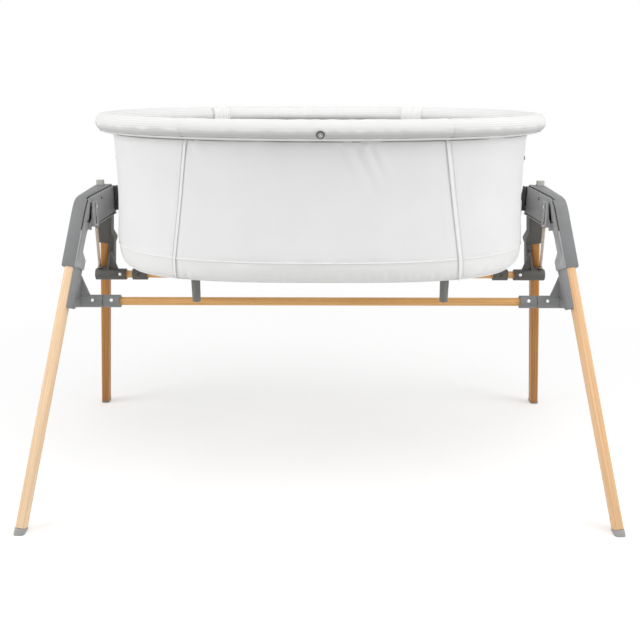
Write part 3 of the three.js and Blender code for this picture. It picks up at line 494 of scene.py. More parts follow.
def outward(piece: Piece, holes: bool = False) -> None:
    """Turn a piece's faces outward.

    Args:
        piece: The piece.
        holes: Whether its open ends are filled first.
    """
    with editing(piece):
        if holes:
            bpy.ops.mesh.select_mode(type="EDGE")
            bpy.ops.mesh.select_all(action="DESELECT")
            bpy.ops.mesh.select_non_manifold()
            bpy.ops.mesh.edge_face_add()
        bpy.ops.mesh.select_all(action="SELECT")
        bpy.ops.mesh.normals_make_consistent(inside=False)


def dress(piece: Piece, surface: bpy.types.Material) -> None:
    """Give a piece one material alone."""
    piece.data.materials.clear()
    piece.data.materials.append(surface)


def enrol(piece: Piece, body: str, finish: Finish, smooth: float = 35) -> None:
    """Finish a piece: its shading, material and body.

    Args:
        piece: The piece, in place.
        body: The body that it rides on.
        finish: Its finish.
        smooth: The angle in degrees up to which its faces are shaded as one surface.
    """
    make_active(piece)
    bpy.ops.object.shade_smooth_by_angle(angle=math.radians(smooth))
    dress(piece, material(finish))
    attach(piece, body)
    LOG.info("%s: %d faces, on %s", piece.name, len(piece.data.polygons), body)


def corners(node: str) -> tuple[Vector, Vector]:
    """The low and the high corner of a node's box."""
    low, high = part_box(node)
    return Vector(low), Vector(high)


def dress_node(
    node: str, body: str, finish: Finish, edge: float, segments: int = 2, smooth: float = 35
) -> Piece:
    """A copy of a CAD node with clean faces and softened edges, which stands for it.

    Args:
        node: The node's name.
        body: The body that it rides on.
        finish: Its finish.
        edge: The softened edges' width in metres, or 0.
        segments: How many faces a softened edge has.
        smooth: The angle in degrees up to which its faces are shaded as one surface.

    Returns:
        The copy.
    """
    piece = bpy.data.objects.new(node + "_finished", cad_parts[node].data.copy())
    bpy.context.scene.collection.objects.link(piece)
    with editing(piece):
        bpy.ops.mesh.select_all(action="SELECT")
        bpy.ops.mesh.remove_doubles(threshold=0.01 * MM)
        bpy.ops.mesh.dissolve_limited(angle_limit=math.radians(0.5))
    if edge:
        soften(piece, edge, segments, 38)
    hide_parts(node)
    enrol(piece, body, finish, smooth)
    return piece


def disc(name: str, radius: float, depth: float, vertices: int, scale: Pair = (1, 1)) -> Piece:
    """A cylinder that stands on the origin along Z.

    Args:
        name: The piece's name.
        radius: Its radius in metres.
        depth: Its height in metres.
        vertices: How many sides it has.
        scale: What its two widths are multiplied by.

    Returns:
        The piece.
    """
    clear_selection()
    foot = (0, 0, depth / 2)
    bpy.ops.mesh.primitive_cylinder_add(vertices=vertices, radius=radius, depth=depth, location=foot)
    piece = bpy.context.object
    piece.name = name
    piece.scale = (*scale, 1)
    bpy.ops.object.transform_apply(location=True, rotation=True, scale=True)
    return piece


def lay(piece: Piece, place: Vector, turn: Quaternion) -> None:
    """Turn a piece's mesh and move it from the origin to its place."""
    piece.data.transform(Matrix.Translation(place) @ turn.to_matrix().to_4x4())


def turn_to(way: Vector) -> Quaternion:
    """The turn that lays the Z axis along a way."""
    return Vector((0, 0, 1)).rotation_difference(way)


def grid_piece(
    name: str, points: Array, across: Array, along: Array, close_u: bool = False, close_v: bool = False,
) -> Piece:
    """A piece from a grid of points, with its flat pattern in metres as the UV map.

    Args:
        name: The piece's name.
        points: Rows by columns by 3, in metres.
        across: The flat pattern's places along the rows, with one more where the grid is closed.
        along: Its places down the columns, spread to the same shape.
        close_u: Whether the last column meets the first.
        close_v: Whether the last row meets the first.

    Returns:
        The piece.
    """
    flat = np.stack(np.broadcast_arrays(across, along), axis=2)
    rows, columns = points.shape[:2]
    faces, pattern = [], []
    for row in range(rows if close_v else rows - 1):
        for column in range(columns if close_u else columns - 1):
            ends = ((row, column), (row, column + 1), (row + 1, column + 1), (row + 1, column))
            faces.append([r % rows * columns + c % columns for r, c in ends])
            pattern += [flat[end] for end in ends]
    mesh = bpy.data.meshes.new(name)
    mesh.from_pydata(points.reshape(-1, 3).tolist(), [], faces)
    mesh.uv_layers.new(name="flat").data.foreach_set("uv", np.asarray(pattern, dtype=np.float32).ravel())
    piece = bpy.data.objects.new(name, mesh)
    bpy.context.scene.collection.objects.link(piece)
    return piece


def tube_piece(
    name: str, path: Array, radius: float, sides: int, closed: bool = False, squash: float = 1
) -> Piece:
    """A tube along a path round the Z axis, with closed ends, and a UV map in metres.

    Args:
        name: The piece's name.
        path: Points by 3, in metres.
        radius: The tube's radius in metres.
        sides: How many sides its section has.
        closed: Whether the path's end meets its start.
        squash: The section's height as a share of its width.

    Returns:
        The piece.
    """
    ahead = np.roll(path, -1, axis=0) - np.roll(path, 1, axis=0)
    sizes = np.full(len(path), radius)
    if not closed:
        ahead[0], ahead[-1] = path[1] - path[0], path[-1] - path[-2]
        sizes[[0, -1]] = radius * 0.35
    ahead /= np.linalg.norm(ahead, axis=1)[:, None]
    out = path * np.array([1, 1, 0])
    out -= (out * ahead).sum(1)[:, None] * ahead
    out /= np.linalg.norm(out, axis=1)[:, None]
    angles = np.linspace(0, TURN, sides, endpoint=False)[None, :, None]
    section = np.cos(angles) * out[:, None] * squash + np.sin(angles) * np.cross(ahead, out)[:, None]
    points = path[:, None] + section * sizes[:, None, None]
    steps = step_lengths(np.vstack([path, path[:1] if closed else path[-1:]]))
    run = np.concatenate([[0], np.cumsum(steps)])[:, None]
    piece = grid_piece(name, points, np.linspace(0, TURN * radius, sides + 1), run, True, closed)
    outward(piece, holes=not closed)
    return piece


def step_lengths(points: Array) -> Array:
    """The lengths of the steps from point to point, along each line of points."""
    return np.linalg.norm(np.diff(points, axis=-2), axis=-1)


# ---------------------------------------------------------------- stand


class Direction(Enum):
    """A named direction along an axis, with its sign."""

    @property
    def word(self) -> str:
        """The direction's name as the nodes use it."""
        return self.name.lower()


class Side(Direction):
    """An end of the bassinet along X."""

    LEFT = -1
    RIGHT = 1


class Row(Direction):
    """A row of legs along Y."""

    FRONT = -1
    REAR = 1

    @property
    def body(self) -> str:
        """The body that the row's pieces ride on."""
        return "stand_front" if self is Row.FRONT else "rear_frame"


@dataclass
class Stand:
    """The wooden legs and rails, the hubs that join them, and their fittings."""

    leg_edge: float = 0.9 * MM
    cover_edge: float = 1.1 * MM
    bracket_edge: float = 1.0 * MM
    rail_edge: float = 0.5 * MM
    button_edge: float = 1.2 * MM
    spring_keep: float = 0.76
    leg_width: float = 19 * MM
    leg_depth: float = 26 * MM
    head_height: float = 1.8 * MM
    head_sink: float = 0.8 * MM
    spot_height: float = 1.4 * MM
    notch_line: Place = (0.4272, -1.0, 0.579)
    highlight_line: Place = (0.4280, -1.0, 0.568)
    hole_shade_line: Place = (0.0, -0.093, 0.5413)
    arm_inset: float = 12.5 * MM
    arm_screw_rise: float = 50 * MM
    arm_screw_back: float = 3 * MM
    splay: float = 0.1723
    screw_tilt: dict[Row, float] = field(default_factory=lambda: {Row.FRONT: 23.0, Row.REAR: 12.0})
    # Painted light: the left front leg's ash is painted paler, as the light falls on it from the left, and
    # the right one's darker.
    lit_left_ash: Wood = Wood("ash", srgb(254, 225, 187), srgb(232, 186, 140))
    shaded_right_ash: Wood = Wood("ash", srgb(249, 208, 160), srgb(213, 157, 104))
    # Painted shade: the rear legs' ash is painted darker, as the rear row stands in shade.
    shaded_rear_ash: Wood = Wood("ash", srgb(206, 144, 68), srgb(152, 92, 28))
    rail_ash: Wood = Wood("ash", srgb(243, 189, 120), srgb(202, 143, 75), (0, TURN / 4, 0))
    grey: Plastic = Plastic("grey_moulding", srgb(140, 141, 142))
    # Painted shade: the rear row's covers and brackets take the same grey painted darker.
    shaded_grey: Plastic = Plastic("grey_moulding_rear", srgb(92, 90, 86), 0.52)
    dark: Plastic = Plastic("black_moulding", srgb(52, 52, 54))
    light: Plastic = Plastic("button_moulding", srgb(204, 205, 198), 0.42)
    # Painted light: the front inner covers take the same grey painted paler, to lift the basket's shade on
    # them.
    inner: Plastic = Plastic("inner_moulding", srgb(174, 174, 175))
    cap: Plastic = Plastic("cap_moulding", srgb(170, 168, 165))
    white: Plastic = Plastic("white_moulding", srgb(232, 232, 231))
    plate: Metal = Metal("zinc_plate", (0.93, 0.93, 0.94), 0.24, 0.08)
    wire: Metal = Metal("nickel_wire", (0.50, 0.42, 0.34), 0.36)
    black: Metal = Metal("blackened_steel", (0.09, 0.09, 0.09), 0.4)

    def build(self) -> None:
        """Dress every piece of the stand."""
        for side in Side:
            for row in Row:
                self.corner(side, row)
            self.hub(side)
            self.studs(side)
        for row in Row:
            wood = replace(self.rail_ash, name=f"{row.word}_rail_ash", seed=0.2 * row.value)
            dress_node(f"{row.word}_rail", row.body, wood, self.rail_edge)
        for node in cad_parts:
            if node.endswith(("screw_left", "screw_right")):
                self.screw(node)

    def leg_wood(self, side: Side, row: Row) -> Wood:
        """A leg's ash, with its tone painted paler or darker for how the light falls on its side and row, and
        its grain along the leg.

        Args:
            side: The leg's end of the bassinet.
            row: The leg's row.

        Returns:
            The finish.
        """
        low, high = corners(f"{row.word}_leg_{side.word}")
        line = high - low - Vector((self.leg_width, self.leg_depth, 0))
        line.x *= -side.value
        line.y *= -row.value
        turn = tuple(line.rotation_difference(Vector((0, 0, 1))).to_euler())
        # Painted light and shade: each side and row gets its own painted tone of the same ash.
        ash = self.shaded_rear_ash if row is Row.REAR else self.lit_left_ash if side is Side.LEFT else self.shaded_right_ash
        seed = 0.37 * side.value + 0.11 * row.value
        return replace(ash, name=f"{row.word}_leg_ash_{side.word}", turn=turn, seed=seed)

    def corner(self, side: Side, row: Row) -> None:
        """Dress one leg with its cap, covers, bracket and collar.

        Args:
            side: The leg's end of the bassinet.
            row: The leg's row.
        """
        # The rear row takes the grey with its painted shade.
        grey = self.grey if row is Row.FRONT else self.shaded_grey
        wood = self.leg_wood(side, row)
        dress_node(f"{row.word}_leg_{side.word}", row.body, wood, self.leg_edge)
        # The front inner cover takes the paler grey with its painted light.
        for part, finish, edge in (
            ("foot_cap", self.cap, self.leg_edge),
            ("outer_cover", grey, self.cover_edge),
            ("inner_cover", self.inner if row is Row.FRONT else grey, self.cover_edge),
            ("rail_bracket", grey, self.bracket_edge),
            ("rail_collar", grey, self.bracket_edge),
        ):
            dress_node(f"{row.word}_{part}_{side.word}", row.body, finish, edge)

    def hub(self, side: Side) -> None:
        """Dress what sits on one hub: axle, button, spring, sleeve, hanger, hook and brace rod.

        Args:
            side: The hub's end of the bassinet.
        """
        dress_node(f"hub_axle_{side.word}", "stand_front", self.black, self.rail_edge)
        button, coil = f"fold_button_{side.word}", f"fold_button_spring_{side.word}"
        dress_node(button, f"button_{side.word}", self.light, self.button_edge, 3)
        spring = dress_node(coil, "stand_front", self.plate, 0, smooth=60)
        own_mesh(spring)
        for part, body, finish, slot, edge in (
            ("sway_sleeve", "swing_sleeves", self.dark, "dark_plastic", self.rail_edge),
            ("hanger_plate", "basket", self.white, "light_plastic", self.bracket_edge),
            ("basket_hook", "basket", self.dark, "dark_plastic", self.bracket_edge),
            ("brace_rod", "rear_frame", self.wire, "steel", self.rail_edge),
        ):
            dress_node(f"{part}_{side.word}", body, finish, edge)

    def studs(self, side: Side) -> None:
        """The arm's screw over a dark disc that paints the shade of its counterbore, and three small discs on
        the front inner cover: dark ones that paint the shade in a notch and in a hole, and a bright steel one
        that paints a highlight on the ridge.

        Args:
            side: The arm's end of the bassinet.
        """
        spot, way = self.arm_spot(side)
        # Painted shade: a dark disc under the screw head stands for the shade in its counterbore.
        for name, sink, radius, finish, slot in (
            ("arm_screw_ring", 1.5 * MM, 4.6 * MM, self.dark, "dark_plastic"),
            ("arm_screw", 1.1 * MM, 3.2 * MM, self.plate, "steel"),
        ):
            head = self.pan_head(f"{name}_{side.word}", spot - way * sink, way, radius)
            enrol(head, "stand_front", finish)
        ahead, aside = Vector((0, 1, 0)), Vector((side.value, 0, 0))
        for name, start, way, size, finish, slot in (
            # Painted shade: a dark disc stands for the shade inside the cover's notch.
            ("cover_notch", self.notch_line, ahead, (2.4 * MM, 6 * MM), self.dark, "dark_plastic"),
            # Painted highlight: a small bright steel oval on the ridge's inboard edge stands for a glint
            # there.
            ("brace_pin", self.highlight_line, ahead, (2.4 * MM, 6.5 * MM), self.plate, "steel"),
            # Painted shade: a dark disc stands for the shade inside a hole in the cover.
            ("cover_plug", self.hole_shade_line, aside, (5 * MM, 5 * MM), self.dark, "dark_plastic"),
        ):
            piece = disc(f"{name}_{side.word}", 0.5, self.spot_height, 28, size)
            soften(piece, 0.3 * MM)
            start = Vector((start[0] * side.value, *start[1:]))
            spot, normal = self.met(f"front_inner_cover_{side.word}", start, way)
            lay(piece, spot - normal * self.spot_height / 2, normal.to_track_quat("Z", "Y"))
            enrol(piece, "stand_front", finish)

    def met(self, node: str, start: Vector, way: Vector) -> tuple[Vector, Vector]:
        """Where a line first meets a node.

        Args:
            node: The node.
            start: Where the line starts.
            way: The way it runs.

        Returns:
            The point, and the outward normal there.
        """
        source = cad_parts[node]
        points = [source.matrix_world @ vertex.co for vertex in source.data.vertices]
        tree = BVHTree.FromPolygons(points, [tuple(polygon.vertices) for polygon in source.data.polygons])
        spot, normal, _, _ = tree.ray_cast(start, way)
        if spot is None:
            raise ValueError(f"the line from {start} misses {node}")
        return spot, normal

    def arm_spot(self, side: Side) -> tuple[Vector, Vector]:
        """The seat of the screw that holds an arm's inner cover.

        Args:
            side: The arm's end of the bassinet.

        Returns:
            The seat's middle, and the way that the screw faces.
        """
        low, high = corners(f"front_leg_{side.word}")
        height = corners(f"front_outer_cover_{side.word}")[0].z + self.arm_screw_rise
        share = (height - low.z) / (high.z - low.z)
        foot, top = (low.x, high.x) if side is Side.LEFT else (high.x, low.x)
        foot, top = abs(foot) - self.leg_width / 2, abs(top) + self.leg_width / 2
        x = foot + (top - foot) * share - self.arm_inset
        y = low.y + self.leg_depth / 2 + (high.y - low.y - self.leg_depth) * share + self.arm_screw_back
        way = Vector((-side.value * math.cos(self.splay), 0, -math.sin(self.splay)))
        return Vector((side.value * x, y, height)), way

    def screw(self, node: str) -> None:
        """A pan-head screw with a cross recess in place of a screw's node.

        Args:
            node: The screw's node.
        """
        row = Row.FRONT if node.startswith("front") else Row.REAR
        low, high = corners(node)
        rail_low, rail_high = corners(f"{row.word}_rail")
        collar_low, collar_high = corners(f"{row.word}_rail_collar_right")
        tilt = math.radians(self.screw_tilt[row])
        way = Vector((0, -math.cos(tilt), math.sin(tilt)))
        root = (rail_low + rail_high) / 2
        root.x = (low.x + high.x) / 2
        reach = (collar_high.z - collar_low.z) / 2 - self.head_sink
        piece = self.pan_head(node + "_head", root + way * reach, way, (high.x - low.x) / 2)
        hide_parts(node)
        enrol(piece, row.body, self.plate)

    def pan_head(self, name: str, centre: Vector, facing: Vector, radius: float) -> Piece:
        """A pan-head screw's head with a cross recess.

        Args:
            name: The piece's name.
            centre: The middle of the head's underside.
            facing: The way it faces.
            radius: Its radius in metres.

        Returns:
            The piece.
        """
        piece = disc(name, radius, self.head_height, 32)
        for polygon in piece.data.polygons:
            polygon.select = polygon.normal.z > 0.9
        with editing(piece):
            bpy.ops.mesh.select_mode(type="FACE")
            bpy.ops.mesh.bevel(offset=radius * 0.2, segments=3, affect="EDGES")
        wide, narrow = radius * 1.15, radius * 0.26
        for size in ((narrow, wide), (wide, narrow)):
            clear_selection()
            scale = (*size, self.head_height)
            bpy.ops.mesh.primitive_cube_add(size=1, location=(0, 0, self.head_height), scale=scale)
            tool = bpy.context.object
            bpy.ops.object.transform_apply(location=True, rotation=True, scale=True)
            apply_modifier(piece, "BOOLEAN", object=tool, operation="DIFFERENCE", solver="EXACT")
            make_active(tool)
            bpy.ops.object.delete()
        lay(piece, centre, turn_to(facing))
        return piece


# ---------------------------------------------------------------- basket


class Level(NamedTuple):
    """One oval of the basket's skin: its half sizes, exponent and height, in metres."""

    half_length: float
    half_width: float
    power: float
    height: float


class Sheet(Enum):
    """The kinds of cloth between the seams, and how their names start."""

    WALL = "panel"
    BAND = "lower_band"
    LINING = "lining"


@dataclass(frozen=True)
class Seam:
    """A seam that runs down the basket, as heights and places along X, in metres."""

    name: str
    row: Row
    heights: tuple[float, ...]
    places: tuple[float, ...]

    def angle(self, ovals: Array) -> Array:
        """The seam's angle on each oval.

        Args:
            ovals: Levels by 4: half length, half width, exponent and height.

        Returns:
            One angle for each level, in radians, counted from +X.
        """
        place = np.interp(-ovals[:, 3], [-height for height in self.heights], self.places)
        share = np.sign(place) * (np.abs(place) / ovals[:, 0]) ** (ovals[:, 2] / 2)
        return self.row.value * np.arccos(share)


@dataclass(frozen=True)
class Fold:
    """A crease pressed into a panel, from its top to where it dies out, along X and Z in metres."""

    top: Pair
    tail: Pair
    depth: float
    width: float

    def press(self, x: Array, z: Array) -> Array:
        """How far the crease moves each point outwards.

        Args:
            x: Places along X in metres.
            z: Heights in metres.

        Returns:
            Moves in metres.
        """
        start = np.array(self.top)
        line = np.array(self.tail) - start
        length = np.linalg.norm(line)
        line = line / length
        run = ((x - start[0]) * line[0] + (z - start[1]) * line[1]) / length
        off = (-(x - start[0]) * line[1] + (z - start[1]) * line[0]) / self.width
        fade = np.sin(np.clip(1 - run, 0, 1) * math.pi / 2) ** 1.5 * np.clip(run / 0.10, 0, 1)
        return self.depth * fade * (np.exp(-((off - 0.8) ** 2)) - 0.9 * np.exp(-((off + 0.5) ** 2)))


def on_oval(ovals: Array, angles: Array) -> tuple[Array, Array]:
    """Points and outward normals on ovals |x/a|^n + |y/b|^n = 1.

    Args:
        ovals: Levels by 4: half length, half width, exponent and height.
        angles: Levels by columns, in radians.

    Returns:
        Two arrays of levels by columns by 3.
    """
    a, b, n, z = (ovals[:, k, None] for k in range(4))
    c, s = np.cos(angles), np.sin(angles)
    x = a * np.sign(c) * np.abs(c) ** (2 / n)
    y = b * np.sign(s) * np.abs(s) ** (2 / n)
    slope_x = np.sign(x) * np.abs(x / a) ** (n - 1) / a
    slope_y = np.sign(y) * np.abs(y / b) ** (n - 1) / b
    normal = np.stack([slope_x, slope_y, np.zeros_like(x)], axis=2)
    normal /= np.linalg.norm(normal, axis=2)[:, :, None]
    return np.stack([x, y, np.broadcast_to(z, x.shape)], axis=2), normal


def evened(ovals: Array, start: Array, end: Array, columns: int) -> Array:
    """Angles at even steps of length between two angles on each oval.

    Args:
        ovals: Levels by 4.
        start: One angle for each level.
        end: One larger angle for each level.
        columns: How many angles to give.

    Returns:
        Levels by columns.
    """
    angles = start[:, None] + (end - start)[:, None] * np.linspace(0, 1, 6 * columns)
    steps = step_lengths(on_oval(ovals, angles)[0])
    run = np.concatenate([np.zeros((len(ovals), 1)), np.cumsum(steps, axis=1)], axis=1)
    even = np.linspace(0, 1, columns)
    return np.stack([np.interp(even * line[-1], line, row) for line, row in zip(run, angles)])


def ring(ovals: Array, columns: int) -> tuple[Array, Array]:
    """Points and outward normals at even steps all round each oval."""
    start = np.zeros(len(ovals))
    return on_oval(ovals, evened(ovals, start, start + TURN, columns + 1)[:, :-1])


def ripple(across: Array, along: Array, seed: int, longest: float, shortest: float, waves: int = 9) -> Array:
    """Soft irregular waves, about -1 to 1.

    Args:
        across: Places in metres.
        along: Places in metres, at right angles to the first.
        seed: Which waves to draw.
        longest: The longest wave in metres.
        shortest: The shortest wave in metres.
        waves: How many waves are added.

    Returns:
        An array of the same shape.
    """
    draw = np.random.default_rng(seed)
    total = np.zeros_like(across)
    weight = 0.0
    for _ in range(waves):
        length = shortest * (longest / shortest) ** draw.random()
        turn = draw.uniform(-0.5, 0.5)
        phase = draw.uniform(0, TURN)
        size = (length / longest) ** 0.6
        total += size * np.sin(TURN / length * (across * math.cos(turn) + along * math.sin(turn)) + phase)
        weight += size * size / 2
    return total / (1.6 * math.sqrt(weight))


def bell(distance: Array, width: float) -> Array:
    """1 at no distance, falling softly to 0 past a width."""
    return np.exp(-((distance / width) ** 2))


def from_edge(share: Array) -> Array:
    """How far a share from 0 to 1 lies from the nearer end."""
    return np.minimum(share, 1 - share)


@dataclass
class Basket:
    """The hanging basket: panels, lower band, floor, lining, seams, rim, snap, frame and mattress."""

    seam_height: float = 0.4975
    rim_seam_height: float = 0.7032
    rivet_height: float = 0.6585
    cloth: float = 1.1 * MM
    lining_gap: float = 2.4 * MM
    wall_rows: int = 64
    band_rows: int = 26
    lining_rows: int = 48
    pitch: float = 3.4 * MM
    rim_power: float = 2.1
    rim_slack: float = 0.5 * MM
    rim_dip: float = 1.3 * MM
    rim_pucker: float = 0.45 * MM
    strip_lift: float = 0.9 * MM
    snap_tilt: float = 24.0
    rivet_size: Pair = (3.6 * MM, 1.7 * MM)
    mattress_power: float = 2.6
    mattress_pressure: float = 3.5
    mattress_swell: float = 5 * MM
    rim_columns: int = 1500
    rim_sides: int = 40
    white: Cloth = Cloth("white_air_mesh", srgb(247, 247, 247), Weave.AIR_MESH, 3.6 * MM, 0.08)
    plain: Cloth = Cloth("white_plain_cloth", srgb(248, 248, 247), Weave.PLAIN, 1.2 * MM, 0.04, 0.25)
    # The rim's mesh, with painted shade on its underside.
    rim_cloth: Cloth = Cloth(
        "white_rim_mesh", srgb(246, 246, 245), Weave.AIR_MESH, 4.2 * MM, 0.26, 0.7, underside_shade=0.15
    )
    tape: Cloth = Cloth("white_binding", srgb(250, 250, 249), Weave.TAPE, 1.1 * MM, 0.05, 0.4)
    thread: Cloth = Cloth("pale_thread", srgb(246, 246, 245), Weave.TAPE, 0.9 * MM, 0.12, 0.5)
    seam_thread: Cloth = Cloth("rim_thread", srgb(196, 194, 190), Weave.TAPE, 0.9 * MM, 0.25, 0.5)
    steel: Metal = Metal("snap_steel", (0.62, 0.62, 0.63))
    dark_steel: Metal = Metal("snap_rim", (0.16, 0.16, 0.16), 0.4)
    board: Wood = Wood("base_board_fibre", srgb(190, 152, 110), srgb(160, 120, 80), (0, math.pi / 2, 0), 0.5)
    foot: Plastic = Plastic("foot_moulding", srgb(124, 124, 122))
    seams: tuple[Seam, ...] = (
        Seam("front_left", Row.FRONT, (0.712, 0.696, 0.579, 0.495), (-0.228, -0.232, -0.248, -0.260)),
        Seam("front_right", Row.FRONT, (0.712, 0.698, 0.496, 0.457), (0.216, 0.218, 0.2495, 0.252)),
        Seam("rear_right", Row.REAR, (0.712, 0.698, 0.496, 0.457), (0.205, 0.207, 0.240, 0.243)),
        Seam("rear_left", Row.REAR, (0.712, 0.696, 0.495), (-0.242, -0.244, -0.262)),
    )
    folds: tuple[Fold, ...] = (
        Fold((0.034, 0.703), (0.068, 0.620), 3.0 * MM, 7.5 * MM),
        Fold((0.063, 0.703), (0.104, 0.603), 3.5 * MM, 8 * MM),
        Fold((0.084, 0.703), (0.118, 0.626), 2.9 * MM, 7 * MM),
        Fold((-0.222, 0.702), (-0.196, 0.655), 1.2 * MM, 9 * MM),
    )
    tabs: tuple[Pair, ...] = ((-0.240, -0.206), (0.184, 0.2285))

    def __post_init__(self) -> None:
        """Set out the rim's line and the skin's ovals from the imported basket's and rim's boxes."""
        low, high = (np.array(corner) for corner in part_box("basket_cloth"))
        rim_low, rim_high = (np.array(corner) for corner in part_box("rim_padding"))
        self.rim_radius = (rim_high[2] - rim_low[2]) / 2
        rim_length, rim_width = rim_high[:2] - self.rim_radius
        rim_height = (rim_high[2] + rim_low[2]) / 2
        self.rim_line = np.array([[rim_length, rim_width, self.rim_power, rim_height]])
        length, width, bottom = rim_length - 0.018, high[1], low[2]
        reach = self.rim_radius * math.sqrt(0.5)
        self.levels = [
            Level(rim_length - reach, rim_width - reach, 2.1, rim_height - reach),
            Level(length, width, 2.15, 0.696),
            Level(length - 0.002, width - 0.002, 2.25, 0.6715),
            Level(length - 0.004, width - 0.004, 2.35, 0.6015),
            Level(length - 0.002, width - 0.002, 2.43, 0.545),
            Level(length, width, 2.5, 0.497),
            Level(length - 0.0021, width - 0.0021, 2.6, bottom + 0.026),
            Level(length - 0.0104, width - 0.0104, 2.8, bottom + 0.0092),
            Level(length - 0.0260, width - 0.0260, 3.0, bottom),
        ]

    def build(self) -> None:
        """Make every piece of the basket."""
        self.sheets()
        self.base()
        self.seam_lines()
        self.rim()
        self.rim_strips()
        self.snaps()
        self.inner_frame()
        self.mattress()
        self.feet()

    def sew(self, piece: Piece, finish: Finish) -> None:
        """Enrol a soft piece on the basket."""
        enrol(piece, "basket", finish, 60)

    # ------------------------------------------------ skin

    def skin(self, top: float, bottom: float, rows: int, inward: float = 0) -> tuple[Array, Array]:
        """Ovals of the skin between two heights.

        Args:
            top: The upper height.
            bottom: The lower height.
            rows: How many ovals.
            inward: How far inside the skin they lie.

        Returns:
            Rows by 4, and the length run down the skin at each row.
        """
        table = np.array(self.levels)
        knots = np.concatenate([[0], np.cumsum(np.hypot(np.diff(table[:, 0]), np.diff(table[:, 3])))])
        slopes = np.gradient(table, knots, axis=0)
        fine = np.linspace(0, knots[-1], 1200)
        index = np.clip(np.searchsorted(knots, fine, side="right") - 1, 0, len(knots) - 2)
        span = (knots[index + 1] - knots[index])[:, None]
        t = (fine - knots[index])[:, None] / span
        curve = (
            (2 * t**3 - 3 * t**2 + 1) * table[index] + (t**3 - 2 * t**2 + t) * span * slopes[index]
            + (-2 * t**3 + 3 * t**2) * table[index + 1] + (t**3 - t**2) * span * slopes[index + 1]
        )
        first, last = np.interp([-top, -bottom], -curve[:, 3], fine)
        runs = np.linspace(first, last, rows)
        ovals = np.stack([np.interp(runs, fine, curve[:, k]) for k in range(4)], axis=1)
        ovals[:, :2] -= inward
        return ovals, runs - first

    def sheets(self) -> None:
        """The wall panels, the lengths of the lower band and those of the lining, round the basket."""
        top, bottom = self.levels[0].height, self.levels[-1].height
        lining_top, lining_foot = top + 1.5 * MM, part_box("mattress")[0][2] + 4 * MM
        lining_inset = self.lining_gap + 2 * self.cloth
        outside = (
            (Sheet.WALL, (top, self.seam_height), self.wall_rows, 0, self.white),
            (Sheet.BAND, (self.seam_height, bottom), self.band_rows, 0.3 * MM, self.plain),
        )
        inside = ((Sheet.LINING, (lining_top, lining_foot), self.lining_rows, lining_inset, self.white),)
        for layer in (outside, inside):
            for number, part in enumerate(("front", "right_end", "rear", "left_end")):
                for sheet, heights, rows, inward, finish in layer:
                    piece, size = self.cut(f"{sheet.value}_{part}", sheet, number, heights, rows, inward)
                    self.sew(piece, finish)
        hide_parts("basket_cloth")

    def cut(
        self, name: str, sheet: Sheet, number: int, heights: Pair, rows: int, inward: float
    ) -> tuple[Piece, Pair]:
        """A sheet between two neighbouring seams and two heights.

        Args:
            name: The piece's name.
            sheet: Its kind.
            number: The number of the seam at its start.
            heights: Its upper and its lower height.
            rows: Its rows.
            inward: How far inside the skin it lies.

        Returns:
            The piece and its flat size.
        """
        ovals, runs = self.skin(*heights, rows, inward)
        start, end = self.seams[number].angle(ovals), self.seams[(number + 1) % 4].angle(ovals)
        end = np.where(end < start, end + TURN, end)
        length = float(step_lengths(on_oval(ovals, evened(ovals, start, end, 60))[0])[rows // 2].sum())
        columns = max(24, int(length / self.pitch))
        points, normals = on_oval(ovals, evened(ovals, start, end, columns))
        across, down = np.meshgrid(np.linspace(0, 1, columns), np.linspace(0, 1, rows))
        points = points + normals * self.relief(sheet, number, points, across, down)[:, :, None]
        piece = grid_piece(name, points[::-1], across * length, runs[::-1, None])
        apply_modifier(piece, "SOLIDIFY", thickness=self.cloth, offset=-1)
        return piece, (float(runs[-1]), length)

    def relief(self, sheet: Sheet, number: int, points: Array, across: Array, down: Array) -> Array:
        """How far a sheet stands out: soft waves, puckers and creases, drawn in at the seams.

        Args:
            sheet: Its kind.
            number: Its number round the basket, odd at the ends.
            points: Rows by columns by 3.
            across: Each point's share of the way across the sheet.
            down: Its share of the way down.

        Returns:
            Moves outwards in metres.
        """
        side, z, edge = points[:, :, number % 2], points[:, :, 2], from_edge(across)
        if sheet is Sheet.LINING:
            waves = 0.8 * MM * ripple(side, 0.4 * z, 71 + number, 0.22, 0.04)
            return np.clip(edge / 0.05, 0, 1) * waves - MM * bell(edge, 0.01)
        tuck = 0.5 * MM * bell(edge, 0.012)
        if sheet is Sheet.BAND:
            low = np.clip((down - 0.25) / 0.5, 0, 1) * np.clip((1 - down) / 0.12, 0.25, 1)
            puckers = ripple(side, 0.3 * z, 31 + number, 0.055, 0.013, 12)
            puckers *= 1 + 1.4 * bell(across - 0.06, 0.06)
            swell = ripple(side, z, 51 + number, 0.24, 0.07, 6) * np.clip(down / 0.2, 0, 1)
            return 0.9 * MM * low * puckers + 0.5 * MM * swell - tuck
        fade = np.clip(edge / 0.06, 0, 1) * np.clip((1 - down) / 0.05, 0, 1)
        waves = fade * MM * ripple(side, 0.45 * z, 11 + number, 0.30, 0.05)
        creases = sum(fold.press(side, z) for fold in self.folds) if number == 0 else 0
        return waves + creases - tuck - 0.6 * MM * bell(1 - down, 0.02)

